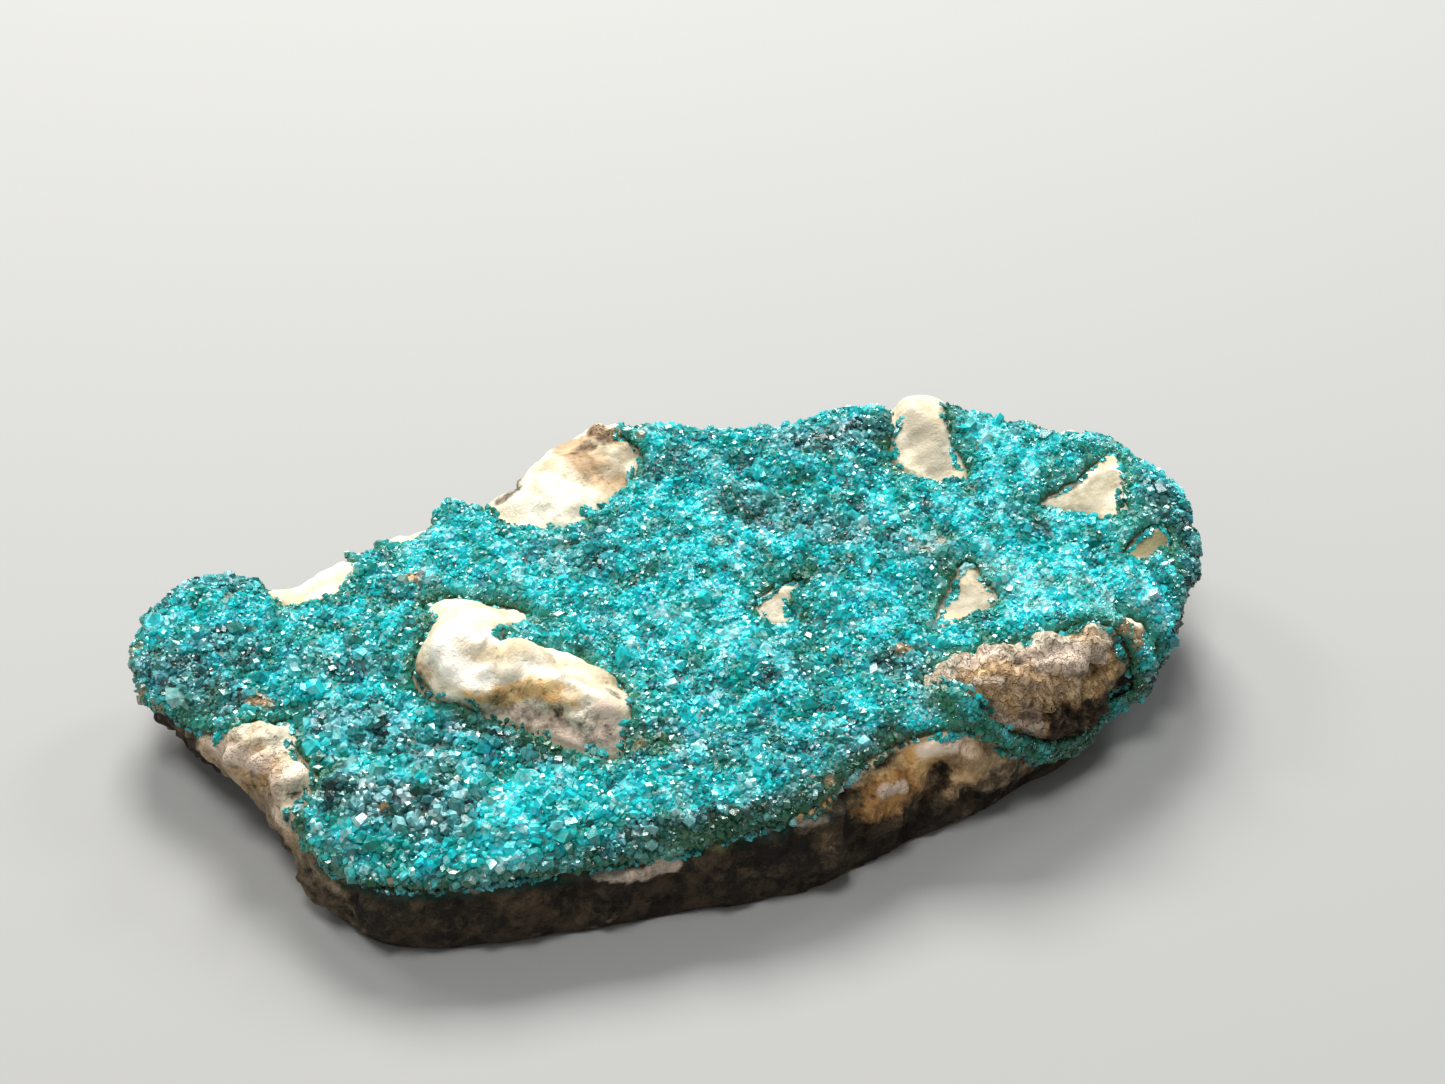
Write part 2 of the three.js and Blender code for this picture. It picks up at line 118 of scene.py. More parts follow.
# %% Studio
FLOOR_HALF_WIDTH = 1.5
FLOOR_DROP = 0.02 * MM
FLOOR_GREY = (160, 160, 158)
FLOOR_ROUGHNESS = 0.9
SOFT_BOXES = {
    # azimuth, elevation, distance, size, power in watts, colour
    "key": (172, 50, 0.30, 0.12, 1.15, (1.0, 0.99, 0.97)),
    "rim_left": (118, 38, 0.32, 0.07, 0.22, (0.95, 0.98, 1.0)),
    "rim_right": (-140, 42, 0.32, 0.07, 0.24, (1.0, 0.98, 0.94)),
    "top": (-40, 76, 0.35, 0.10, 0.55, (1.0, 1.0, 1.0)),
    "fill": (-55, 34, 0.45, 0.35, 0.16, (0.96, 0.98, 1.0)),
}
SKY_BRIGHTNESS = 0.22


def linear(red, green, blue):
    """A colour given in screen values, 0 to 255, as the linear values that shaders use."""
    shares = (red / 255, green / 255, blue / 255)
    return tuple(((s + 0.055) / 1.055) ** 2.4 if s > 0.04 else s / 12.92 for s in shares)


def soft_box(name, azimuth, elevation, distance, size, power, colour):
    """A square lamp on the dome around the specimen, facing it."""
    data = bpy.data.lights.new(name, "AREA")
    data.shape = "SQUARE"
    data.size = size
    data.energy = power
    data.color = colour
    towards = direction_from(math.radians(azimuth), math.radians(elevation))
    stand_and_look(bpy.data.objects.new(name, data), towards * distance, towards)


for box_name, settings in SOFT_BOXES.items():
    soft_box(box_name, *settings)

floor_mesh = bpy.data.meshes.new("floor")
floor_corners = [
    (x * FLOOR_HALF_WIDTH, y * FLOOR_HALF_WIDTH, -FLOOR_DROP)
    for x, y in ((-1, -1), (1, -1), (1, 1), (-1, 1))
]
floor_mesh.from_pydata(floor_corners, [], [(0, 1, 2, 3)])
floor = bpy.data.objects.new("floor", floor_mesh)
show(floor)
floor_paint = bpy.data.materials.new("pale_floor")
floor_paint.use_nodes = True
floor_shader = floor_paint.node_tree.nodes["Principled BSDF"]
floor_shader.inputs["Base Color"].default_value = (*linear(*FLOOR_GREY), 1)
floor_shader.inputs["Roughness"].default_value = FLOOR_ROUGHNESS
floor_mesh.materials.append(floor_paint)

world = bpy.data.worlds.new("studio")
world.use_nodes = True
world.node_tree.nodes["Background"].inputs["Color"].default_value = (1, 1, 1, 1)
world.node_tree.nodes["Background"].inputs["Strength"].default_value = SKY_BRIGHTNESS
bpy.context.scene.world = world
bpy.context.scene.view_settings.view_transform = "Standard"
print(len(SOFT_BOXES), "soft boxes over the floor")

# %% [markdown]
# ## Helpers for meshes
#
# The solids are coarse and faceted. A voxel remesh turns one into an even net of small quads, and a
# few rounds of smoothing melt the facets away, which leaves a clean form to carve. Positions are then
# handled as plain arrays in millimetres, so that distances read as they would on the real stone.

# %% Mesh helpers
SEED_STEP = 17.3
NOISE_GAIN = 1.6


def even_net(solid, name, voxel, smoothing):
    """A new mesh with the solid's form, in quads of one size, smoothed."""
    copy = bpy.data.objects.new(name + "_source", solid.data.copy())
    show(copy)
    remesh = copy.modifiers.new("remesh", "REMESH")
    remesh.mode = "VOXEL"
    remesh.voxel_size = voxel * MM
    remesh.adaptivity = 0
    smooth = copy.modifiers.new("smooth", "SMOOTH")
    smooth.factor = 0.5
    smooth.iterations = smoothing
    evaluated = copy.evaluated_get(bpy.context.evaluated_depsgraph_get())
    mesh = bpy.data.meshes.new_from_object(evaluated)
    mesh.name = name
    bpy.data.objects.remove(copy)
    mesh.materials.clear()
    return mesh


def vertex_places(mesh):
    """Vertex positions in millimetres, and vertex normals."""
    places = np.empty(len(mesh.vertices) * 3, np.float32)
    normals = np.empty(len(mesh.vertices) * 3, np.float32)
    mesh.vertices.foreach_get("co", places)
    mesh.vertex_normals.foreach_get("vector", normals)
    return places.reshape(-1, 3).astype(float) / MM, normals.reshape(-1, 3).astype(float)


def set_places(mesh, places):
    """Moves the vertices to these positions in millimetres."""
    mesh.vertices.foreach_set("co", (places * MM).astype(np.float32).ravel())
    mesh.update()


def search_tree(mesh):
    """A tree that finds the nearest point of the mesh, in metres."""
    corners = [vertex.co.copy() for vertex in mesh.vertices]
    return BVHTree.FromPolygons(corners, [tuple(face.vertices) for face in mesh.polygons])


def distance_to(tree, places):
    """How far each place is from a surface, in millimetres."""
    return np.array([tree.find_nearest(Vector(p) * MM)[3] / MM for p in places])


def nothing_above(tree, places, normals, reach):
    """True where a ray along the normal meets no surface within the reach in millimetres."""
    pairs = zip(places, normals)
    return np.array([tree.ray_cast(Vector(p) * MM, Vector(n), reach * MM)[0] is None for p, n in pairs])


def ramp(values, low, high):
    """0 below low, 1 above high and a smooth rise between them."""
    t = np.clip((values - low) / (high - low), 0, 1)
    return t * t * (3 - 2 * t)


def waviness(places, size, seed, octaves=1):
    """Smooth noise from about -1 to 1, with bumps of about the given size in millimetres."""
    total = np.zeros(len(places))
    reach = 0
    for octave in range(octaves):
        share = 0.5 ** octave
        shifted = places * (2 ** octave / size) + seed * SEED_STEP
        total += share * np.array([noise.noise(Vector(p)) for p in shifted])
        reach += share
    return total * NOISE_GAIN / reach


def keep_numbers(mesh, name, values):
    """Stores one number for each vertex, for a shader to read by name."""
    stored = mesh.attributes.new(name, "FLOAT", "POINT")
    stored.data.foreach_set("value", np.clip(values, 0, 1).astype(np.float32))


def smooth_shaded(mesh):
    """Lets light run over the faces without edges."""
    mesh.polygons.foreach_set("use_smooth", np.ones(len(mesh.polygons), bool))


# %% [markdown]
# ## The stone's form
#
# The rock is one solid, so it stays one mesh. It starts from the loaded solid, and its relief is
# carved over it: a fine unevenness all over, a coarse roughness on the broken sides, and then the
# swells, knobs and pits that make this stone this stone. Each named spot is given by the point of the
# camera frame where it is seen, and is carried along the line of sight until it meets the rock. That
# way it always sits on the surface.

# %% Stone net
STONE_VOXEL = 0.2
STONE_SMOOTHING = 7
stone_mesh = even_net(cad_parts["matrix"], "matrix_stone", STONE_VOXEL, STONE_SMOOTHING)
crust_tree = search_tree(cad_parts["dioptase_crust"].data)
smooth_stone_tree = search_tree(stone_mesh)
print("stone net:", len(stone_mesh.vertices), "vertices")

# %% Points seen from the camera
SIGHT_STEPS = range(90, 140, 2)
STROKE_STEP = 7
FULL_STRENGTH_SHARE = 0.35


def sight_line(x, y):
    """The direction from the camera through a point of the frame, counted from its top left corner."""
    pixel = SENSOR / LENS / FRAME_WIDTH
    ray = Vector(((x - FRAME_WIDTH / 2) * pixel, (FRAME_HEIGHT / 2 - y) * pixel, -1))
    return (camera.matrix_world.to_3x3() @ ray).normalized()


def seen_on(tree, x, y):
    """The point of a surface that shows there, in millimetres.

    Where the line of sight misses the surface, it is the surface's nearest point to that line.
    """
    line = sight_line(x, y)
    hit = tree.ray_cast(camera.location, line)[0]
    if hit is None:
        stops = [camera.location + line * (d * MM) for d in SIGHT_STEPS]
        hit = min((tree.find_nearest(p) for p in stops), key=lambda found: found[3])[0]
    return np.array(hit) / MM


def nearness(places, spots, tree):
    """0 to 1 round each spot (x, y, radius in millimetres, strength), fading out over its radius."""
    total = np.zeros(len(places))
    for x, y, radius, strength in spots:
        away = np.linalg.norm(places - seen_on(tree, x, y), axis=1)
        total = np.maximum(total, strength * (1 - ramp(away, FULL_STRENGTH_SHARE * radius, radius)))
    return total


def strokes(paths):
    """Turns brush strokes (frame points, radius, strength) into spots set close together."""
    spots = []
    for path, radius, strength in paths:
        spots.append((*path[0], radius, strength))
        for (x0, y0), (x1, y1) in zip(path, path[1:]):
            steps = max(1, round(math.hypot(x1 - x0, y1 - y0) / STROKE_STEP))
            for k in range(1, steps + 1):
                spots.append((x0 + (x1 - x0) * k / steps, y0 + (y1 - y0) * k / steps, radius, strength))
    return spots


point_width = VIEW_DISTANCE / MM * SENSOR / LENS / FRAME_WIDTH
print("a frame point is", round(point_width, 3), "mm wide at the specimen")

# %% [markdown]
# ### Swells, knobs and pits
#
# Where the crust lies on the rock nothing is carved, so the two stay close without running through
# each other. Beside it the bare patches rise unevenly towards the level of the crystals, and the
# distance to the crust gives the mask for both. The broken sides and a few bare places are craggy:
# there, the sharp creases of a folded noise are added. Swells, knobs and pits come last.

# %% Places on the stone
SWELLS = [
    # path of frame points, radius and height in mm
    ([(975, 690), (1030, 692), (1080, 688)], 2.4, 0.35),
    ([(1010, 715), (1050, 718), (1080, 705)], 1.5, 0.35),
    ([(775, 838), (815, 836), (835, 840)], 2.0, 0.4), ([(880, 805), (905, 795)], 1.8, 0.4),
    ([(960, 770), (990, 775)], 1.6, 0.3), ([(222, 758), (245, 765), (262, 760)], 1.5, 0.28),
    ([(293, 776)], 0.95, 0.14), ([(281, 815)], 0.9, 0.1),
    ([(515, 652), (560, 668), (604, 684)], 0.8, 0.3),
    ([(434, 664), (450, 684), (480, 690)], 1.2, 0.5),
    ([(456, 644), (472, 652), (488, 663)], 0.85, 0.38), ([(600, 470), (560, 500)], 1.8, 0.2),
]
KNOBS = [
    # frame x, frame y, radius and height in mm
    (1022, 689, 0.85, 0.28), (1038, 690, 0.8, 0.28), (1067, 686, 0.7, 0.15), (1107, 709, 0.7, 0.3),
    (985, 656, 0.6, 0.2), (1060, 652, 0.7, 0.15), (1040, 650, 0.5, 0.15), (945, 745, 0.7, 0.25),
    (970, 750, 0.6, 0.2), (1085, 640, 0.9, 0.15), (1000, 724, 0.5, 0.15), (1030, 728, 0.6, 0.15),
    (930, 752, 0.6, 0.2), (238, 748, 0.8, 0.2),
]
PITS = strokes([
    # path of frame points, radius and depth in mm
    ([(1014, 661), (1022, 662)], 0.5, 0.4), ([(1000, 669), (990, 672)], 0.42, 0.32),
    ([(974, 676)], 0.35, 0.25), ([(955, 681)], 0.35, 0.22), ([(1050, 674)], 0.35, 0.25),
    ([(1080, 660), (1095, 668)], 0.42, 0.32), ([(1018, 705), (1034, 706), (1046, 700)], 0.4, 0.3),
    ([(940, 768), (932, 790), (920, 810), (913, 835)], 0.8, 0.6),
    ([(1058, 698), (1066, 712), (1082, 714)], 0.5, 0.3), ([(1125, 690), (1110, 725)], 0.5, 0.3),
    ([(559, 710)], 0.3, 0.12), ([(589, 715)], 0.3, 0.1), ([(962, 785), (972, 795)], 0.5, 0.3),
    ([(284, 795), (299, 793)], 0.34, 0.25), ([(236, 789), (262, 785), (275, 766)], 0.4, 0.3),
    ([(255, 752)], 0.4, 0.15), ([(545, 715), (575, 728)], 0.5, 0.12),
    ([(852, 800), (852, 845)], 0.8, 0.4), ([(745, 862), (748, 845)], 0.8, 0.3),
    ([(282, 805), (296, 803)], 0.4, 0.2), ([(985, 742), (992, 752)], 0.4, 0.2),
])
ROUGH_GROUND = strokes([
    # path of frame points, radius in mm, how rough
    ([(950, 672), (1000, 665), (1060, 660), (1105, 660)], 1.8, 1),
    ([(985, 700), (1040, 710), (1100, 700)], 2.2, 1),
    ([(215, 748), (250, 750), (275, 785)], 1.9, 0.62), ([(600, 436), (622, 440)], 1.2, 0.8),
    ([(500, 692), (545, 702), (605, 728)], 1.3, 0.5), ([(600, 462), (560, 505)], 1.6, 0.35),
    ([(450, 645), (475, 655)], 1.5, 0.4),
])
print(len(SWELLS), "swells,", len(KNOBS), "knobs and", len(PITS), "pit spots")

# %% Carve the stone
LEVEL_RISE = 0.3
WALL_ROUGHNESS = 0.55
GENTLE_WAVES = [
    # height in mm, size in mm, seed, octaves
    (0.05, 2.0, 8, 1),
    (0.07, 0.7, 1, 2),
]
CRAGS = [
    # height in mm, size in mm, seed, octaves
    (0.38, 1.5, 2, 2),
    (0.4, 0.75, 3, 1),
    (0.14, 0.45, 16, 1),
]
CRAG_MEAN = 0.28
CREVICE_DEPTH = 0.2

places, normals = vertex_places(stone_mesh)
free = ramp(distance_to(crust_tree, places), 0.0, 0.2)
above_base = ramp(places[:, 2], 0.1, 1.2)
wall = 1 - ramp(normals[:, 2], 0.45, 0.8)
rough = np.maximum(WALL_ROUGHNESS * wall, nearness(places, ROUGH_GROUND, smooth_stone_tree))

depth = sum(height * waviness(places, *wave) for height, *wave in GENTLE_WAVES)
depth += rough * (sum(height * np.abs(waviness(places, *wave)) for height, *wave in CRAGS) - CRAG_MEAN)
depth -= rough * CREVICE_DEPTH * ramp(waviness(places, 0.8, 4), 0.3, 0.8)
depth += LEVEL_RISE * (1 - wall) * ramp(waviness(places, 1.7, 14, 2), -0.8, 0.5)
depth += sum(nearness(places, strokes([swell]), smooth_stone_tree) for swell in SWELLS)
depth += sum(height * nearness(places, [(x, y, r, 1)], smooth_stone_tree) for x, y, r, height in KNOBS)
depth -= nearness(places, PITS, smooth_stone_tree)
places += normals * (depth * free * above_base)[:, None]
places[:, 2] = np.maximum(places[:, 2], 0)
set_places(stone_mesh, places)
keep_numbers(stone_mesh, "rough", rough)
stone_tree = search_tree(stone_mesh)
print("carved the stone between", round(float(depth.min()), 2), "and", round(float(depth.max()), 2), "mm")

# %% [markdown]
# ### Where the stone is stained
#
# Water has left iron, clay and a little copper in the carbonate, so the cream ground is stained in
# many tones. Each stain is a list of brush strokes on the stone, stored as one number for each vertex
# and frayed later by fine noise in the shader. Painting by strokes keeps the stains where they belong
# and needs no picture. The broken sides take their dark colour from the form itself: wherever the
# surface turns steep it is tan and brown, the brown being dirt together with painted shade, darker
# towards the bottom; its foot is painted brown as shade; and close to the crust it is a little olive,
# partly a copper stain and partly painted shade of the crust's edge.

# %% Stains
# Each stroke of a stain: path of frame points, radius in mm, strength.
STAINS = {
    # A thin iron wash over the lump, the bulge, the knobs and the bare patches.
    "tan": [
        ([(985, 668), (1035, 672), (1100, 668)], 1.5, 0.85),
        ([(985, 690), (1060, 696), (1100, 690)], 2.4, 0.95),
        ([(1000, 715), (1040, 728), (1085, 722)], 2.2, 0.9),
        ([(225, 762), (250, 770), (268, 780)], 1.4, 0.75), ([(545, 668), (585, 684)], 0.7, 0.45),
        ([(600, 433), (630, 440)], 1.2, 0.9), ([(570, 448), (598, 470), (622, 488)], 1.3, 0.85),
        ([(1075, 500), (1110, 480)], 1.2, 0.5), ([(1140, 550), (1165, 545)], 1.2, 0.8),
        ([(960, 600)], 1.2, 0.35), ([(605, 480), (632, 450)], 0.7, 0.6),
        ([(925, 765), (960, 770), (1000, 765)], 2.2, 1.0), ([(935, 800), (990, 785)], 1.6, 1.0),
        ([(760, 840), (830, 840), (900, 810)], 2.4, 0.9), ([(1080, 636), (1105, 648)], 1.0, 0.6),
        ([(475, 640)], 0.8, 0.25), ([(530, 700), (600, 720)], 0.9, 0.3),
        ([(1070, 505), (1095, 495), (1115, 480)], 1.3, 0.4),
        ([(955, 600), (972, 590), (985, 605)], 1.1, 0.45), ([(770, 600), (795, 600)], 0.9, 0.4),
        ([(905, 420), (925, 450), (945, 465)], 1.2, 0.4),
        ([(1010, 700), (1040, 712), (1075, 700)], 1.2, 0.95),
        ([(1120, 632), (1142, 642)], 0.9, 1.0),
    ],
    # Clean, chalky rock on the ridge and on the back edge, laid whiter on the ridge's left lobe as
    # painted light.
    "white": [
        ([(440, 650), (455, 668), (480, 680)], 0.9, 0.9),
        ([(445, 628), (480, 632), (500, 640)], 0.8, 0.8),
        ([(520, 662), (560, 676), (600, 694)], 0.35, 0.7),
        ([(550, 480), (570, 492), (540, 508)], 1.1, 0.6), ([(300, 585), (325, 570)], 1.0, 0.7),
    ],
    # Dark green under the lower edge of the crust: a thin film of copper together with painted shade of
    # the overhang.
    "green": [
        ([(318, 866), (345, 884), (395, 898), (460, 896), (540, 885), (620, 872)], 0.4, 0.65),
        ([(700, 846), (760, 838), (820, 818), (860, 798)], 0.6, 0.5),
        ([(1110, 735), (1150, 705)], 0.8, 0.7),
    ],
    # Copper and iron together in the flat bare patches, partly painted shade cast by the crust's edge.
    "olive": [
        ([(1062, 505), (1090, 495), (1112, 478)], 1.2, 0.55),
        ([(955, 600), (972, 580), (985, 600)], 1.0, 0.5), ([(765, 600), (780, 590)], 0.8, 0.6),
        ([(1138, 548), (1162, 538)], 0.9, 0.8), ([(930, 470), (945, 470)], 0.7, 0.4),
    ],
    # The grey beige of the flat bare patches and the saddle.
    "drab": [
        ([(1060, 506), (1090, 498), (1108, 480)], 1.3, 0.9),
        ([(955, 604), (968, 596), (985, 606)], 1.1, 0.9), ([(770, 604), (795, 600)], 0.9, 0.8),
        ([(915, 425), (925, 440), (940, 465)], 1.2, 0.9), ([(610, 470), (632, 450)], 0.8, 0.6),
    ],
    # Pinkish rock on the ridge's lower face, the lump and the knobs.
    "rose": [
        ([(520, 716), (555, 732), (600, 748)], 0.9, 0.85), ([(604, 708), (612, 745)], 0.9, 0.9),
        ([(1000, 713), (1035, 722), (1030, 738)], 0.9, 0.95), ([(268, 812), (290, 820)], 0.9, 0.5),
        ([(245, 750), (262, 746)], 0.6, 0.3), ([(225, 755), (262, 765), (270, 788)], 1.0, 0.7),
        ([(690, 868), (730, 862)], 1.2, 0.5), ([(925, 755), (945, 760)], 0.6, 0.5),
    ],
    # Yellow iron earth in the folds of the ridge, the lump and the bulge.
    "ochre": [
        ([(474, 693), (504, 696), (532, 687), (552, 692)], 0.7, 0.95),
        ([(552, 696), (575, 703)], 0.5, 0.55), ([(560, 687)], 0.35, 0.7),
        ([(1086, 690), (1100, 680), (1112, 670)], 0.9, 0.95), ([(1092, 698)], 0.5, 0.95),
        ([(1008, 700), (1016, 712)], 0.55, 0.8),
        ([(868, 812), (880, 796), (905, 782), (925, 766)], 1.5, 1.0),
        ([(815, 812), (835, 812)], 0.9, 0.9), ([(775, 812), (800, 808)], 0.8, 0.6),
        ([(236, 789), (262, 785), (272, 768)], 0.5, 0.75), ([(250, 752), (262, 748)], 0.5, 0.5),
        ([(955, 775), (982, 772)], 0.8, 0.6), ([(128, 655), (133, 640)], 0.6, 0.6),
        ([(412, 577)], 0.5, 0.8), ([(975, 672), (1000, 670)], 0.6, 0.6), ([(932, 788)], 0.4, 0.9),
        ([(1048, 716), (1070, 700)], 0.7, 0.7), ([(990, 694), (1005, 706)], 0.6, 0.5),
        ([(1075, 702), (1088, 712)], 0.6, 0.8), ([(915, 776), (945, 760)], 0.6, 0.6),
        ([(1040, 704), (1078, 704)], 1.1, 0.5), ([(1092, 715), (1100, 700)], 0.6, 0.6),
        ([(235, 768), (258, 778)], 0.5, 0.5),
    ],
    # The strongest iron, on the bulge and the lump.
    "rust": [
        ([(862, 820), (880, 802), (905, 790)], 1.5, 0.85), ([(930, 782), (960, 770)], 1.0, 0.5),
        ([(1092, 712), (1098, 694)], 0.5, 0.6), ([(1062, 712), (1078, 702)], 0.5, 0.4),
        ([(820, 835), (850, 828)], 0.8, 0.6),
    ],
    # Brown-grey skins on the lump, the left knobs and the front wall.
    "umber": [
        ([(1000, 702), (1050, 706), (1100, 690)], 1.5, 0.5),
        ([(1016, 688), (1042, 690)], 0.72, 0.6), ([(1067, 686)], 0.5, 0.5),
        ([(1107, 709)], 0.7, 1.0), ([(1063, 742), (1085, 735)], 0.8, 0.7),
        ([(1138, 550), (1162, 542)], 1.0, 1.0), ([(505, 652), (496, 664)], 0.25, 0.5),
        ([(460, 620), (480, 622)], 0.6, 0.25), ([(262, 838), (300, 880), (345, 915)], 2.6, 0.95),
        ([(212, 790), (240, 815)], 1.2, 0.7), ([(232, 766)], 0.4, 0.8), ([(252, 776)], 0.35, 0.8),
        ([(263, 757)], 0.35, 0.7), ([(985, 785), (1010, 770)], 0.9, 0.7),
        ([(700, 850), (745, 850)], 1.4, 0.6), ([(935, 812), (950, 805)], 0.8, 0.8),
        ([(940, 775), (1000, 768)], 1.4, 0.5), ([(700, 858), (760, 850), (820, 835)], 1.6, 0.7),
    ],
    # Dark dirt in pits and creases and along the front wall, painted darker there and on the lump's lower
    # faces as shade.
    "brown": [
        ([(559, 711)], 0.38, 0.8), ([(589, 715)], 0.42, 0.55),
        ([(608, 690), (618, 696)], 0.42, 0.6), ([(532, 712), (545, 716)], 0.4, 0.35),
        ([(490, 698), (506, 697)], 0.35, 0.45), ([(565, 728)], 0.4, 0.25),
        ([(587, 698)], 0.14, 0.9), ([(581, 685)], 0.2, 0.5),
        ([(1014, 661), (1022, 662)], 0.42, 0.65), ([(1000, 669), (990, 672)], 0.36, 0.6),
        ([(974, 676)], 0.3, 0.55), ([(955, 681)], 0.32, 0.55), ([(1050, 674)], 0.26, 0.6),
        ([(1080, 660), (1096, 668)], 0.36, 0.6),
        ([(1024, 706), (1034, 706), (1046, 700)], 0.24, 0.75),
        ([(1052, 716), (1070, 714), (1096, 706)], 0.7, 0.75),
        ([(1050, 740), (1090, 724), (1112, 700)], 1.0, 0.85),
        ([(1125, 682), (1120, 705), (1098, 738)], 0.8, 0.9), ([(1020, 742), (1050, 746)], 0.4, 0.3),
        ([(942, 770), (932, 790), (920, 810), (913, 835)], 0.8, 0.85),
        ([(962, 788), (972, 797)], 0.5, 0.8), ([(935, 830), (1000, 795)], 0.9, 0.6),
        ([(286, 795), (299, 793)], 0.28, 0.6), ([(236, 790), (262, 786), (275, 766)], 0.24, 0.6),
        ([(254, 753)], 0.35, 0.45), ([(596, 432), (612, 434)], 0.7, 0.6),
        ([(510, 492), (516, 488)], 0.5, 0.7),
        ([(370, 912), (450, 915), (540, 900), (620, 885), (690, 880)], 2.4, 1.0),
        ([(380, 890), (540, 880), (660, 865)], 1.1, 0.8), ([(705, 872), (750, 862)], 1.4, 0.7),
        ([(775, 848), (800, 860), (840, 850)], 1.0, 0.7),
        ([(275, 845), (300, 875), (340, 910), (385, 928)], 1.1, 0.75),
        ([(852, 800), (853, 850)], 0.7, 0.8), ([(880, 828), (905, 822)], 0.9, 0.7),
        ([(965, 795), (1010, 775)], 1.2, 0.6), ([(850, 790), (865, 780)], 0.8, 0.5),
        ([(985, 668), (1005, 678)], 0.4, 0.6), ([(1060, 668), (1080, 676)], 0.5, 0.5),
        ([(500, 500), (515, 490)], 0.6, 0.7), ([(578, 450), (605, 438)], 0.8, 0.6),
        ([(600, 478), (612, 490)], 0.4, 0.4), ([(420, 905), (500, 908), (580, 895)], 0.9, 0.6),
        ([(300, 905), (330, 925)], 1.0, 0.5), ([(270, 868), (285, 885)], 0.5, 0.35),
    ],
    # Fresh spots where the dirt has broken off, and painted highlights on the tops of the two bulges and
    # on the lump's crest.
    "pale": [
        ([(622, 848), (650, 856), (673, 862)], 0.55, 1), ([(560, 864)], 0.4, 0.85),
        ([(474, 891)], 0.35, 0.7), ([(712, 842)], 0.4, 0.5),
        ([(598, 874), (636, 876), (672, 870)], 0.5, 0.7), ([(800, 824), (822, 820)], 0.4, 0.55),
        ([(884, 792), (902, 788)], 0.5, 0.85), ([(924, 752), (938, 748), (955, 742)], 0.6, 0.9),
        ([(968, 750)], 0.5, 0.6), ([(968, 663), (985, 654), (1002, 654)], 0.55, 0.9),
        ([(1025, 652), (1060, 655), (1078, 648)], 0.55, 0.9),
        ([(1040, 660), (1070, 660), (1100, 656)], 0.9, 0.8), ([(975, 680), (1000, 682)], 0.4, 0.6),
        ([(293, 776)], 0.7, 0.8), ([(215, 748), (240, 756), (262, 764)], 0.7, 0.75),
        ([(275, 812), (287, 822)], 0.6, 0.6),
    ],
}
UNDARKENED_SIDES = strokes([
    # path of frame points, radius in mm, how free of the brown dirt and painted shade
    ([(975, 690), (1030, 695), (1090, 690)], 3.2, 1),
    ([(220, 760), (265, 775), (285, 815)], 2.2, 1), ([(930, 760), (990, 765)], 2.2, 0.8),
    ([(870, 802), (905, 785)], 1.4, 0.6),
    ([(235, 815), (262, 838), (300, 880), (345, 910)], 1.8, 0.85),
])
print(len(STAINS), "stains in", sum(len(paths) for paths in STAINS.values()), "brush strokes")

# %% Stain the stone
SIDE_DIRT_AND_SHADE = 0.85
DARKER_TOWARDS_BASE = 0.3
SIDE_TAN = 0.7
BASE_SHADE = 0.9
# The olive beside the crust is partly copper stain and partly painted shade of the crust's edge.
OLIVE_BESIDE_CRUST = 0.8

places = vertex_places(stone_mesh)[0]
low = 1 - ramp(places[:, 2], 0.4, 3.8)
mottle = 0.5 + 0.5 * waviness(places, 1.8, 5, 2)
crust_gap = distance_to(crust_tree, places)
beside_crust = 1 - ramp(crust_gap + 0.15 * waviness(places, 0.7, 9), 0.15, 0.6)
undarkened = nearness(places, UNDARKENED_SIDES, stone_tree)
# Painted shade with the dirt: steep sides go brown, darker towards the bottom, and the foot is painted
# brown as shade.
dirt_and_shade = wall * (SIDE_DIRT_AND_SHADE + DARKER_TOWARDS_BASE * low) * (0.5 + mottle) * (1 - undarkened)
shade_at_base = BASE_SHADE * (1 - ramp(places[:, 2], 0.1, 0.9))
by_form = {
    "brown": np.maximum(dirt_and_shade, shade_at_base),
    "tan": SIDE_TAN * wall,
    "olive": beside_crust * ramp(mottle, 0.35, 0.8) * OLIVE_BESIDE_CRUST,
}
for name, paths in STAINS.items():
    amount = nearness(places, strokes(paths), stone_tree)
    if name in by_form:
        amount = np.maximum(amount, by_form[name])
    keep_numbers(stone_mesh, name, amount)
print("stains stored:", sorted(STAINS))

# %% [markdown]
# ## Building materials by short calls
#
# A material is a net of small nodes, and wiring them one by one hides what they do. This class wraps
# the few that are needed here, so that each line of a finish below reads as one thing that is done to
# the colour or the relief. All noise is laid out in the object's own space, so it stays on the
# stone from every side.

# %% Shader helpers


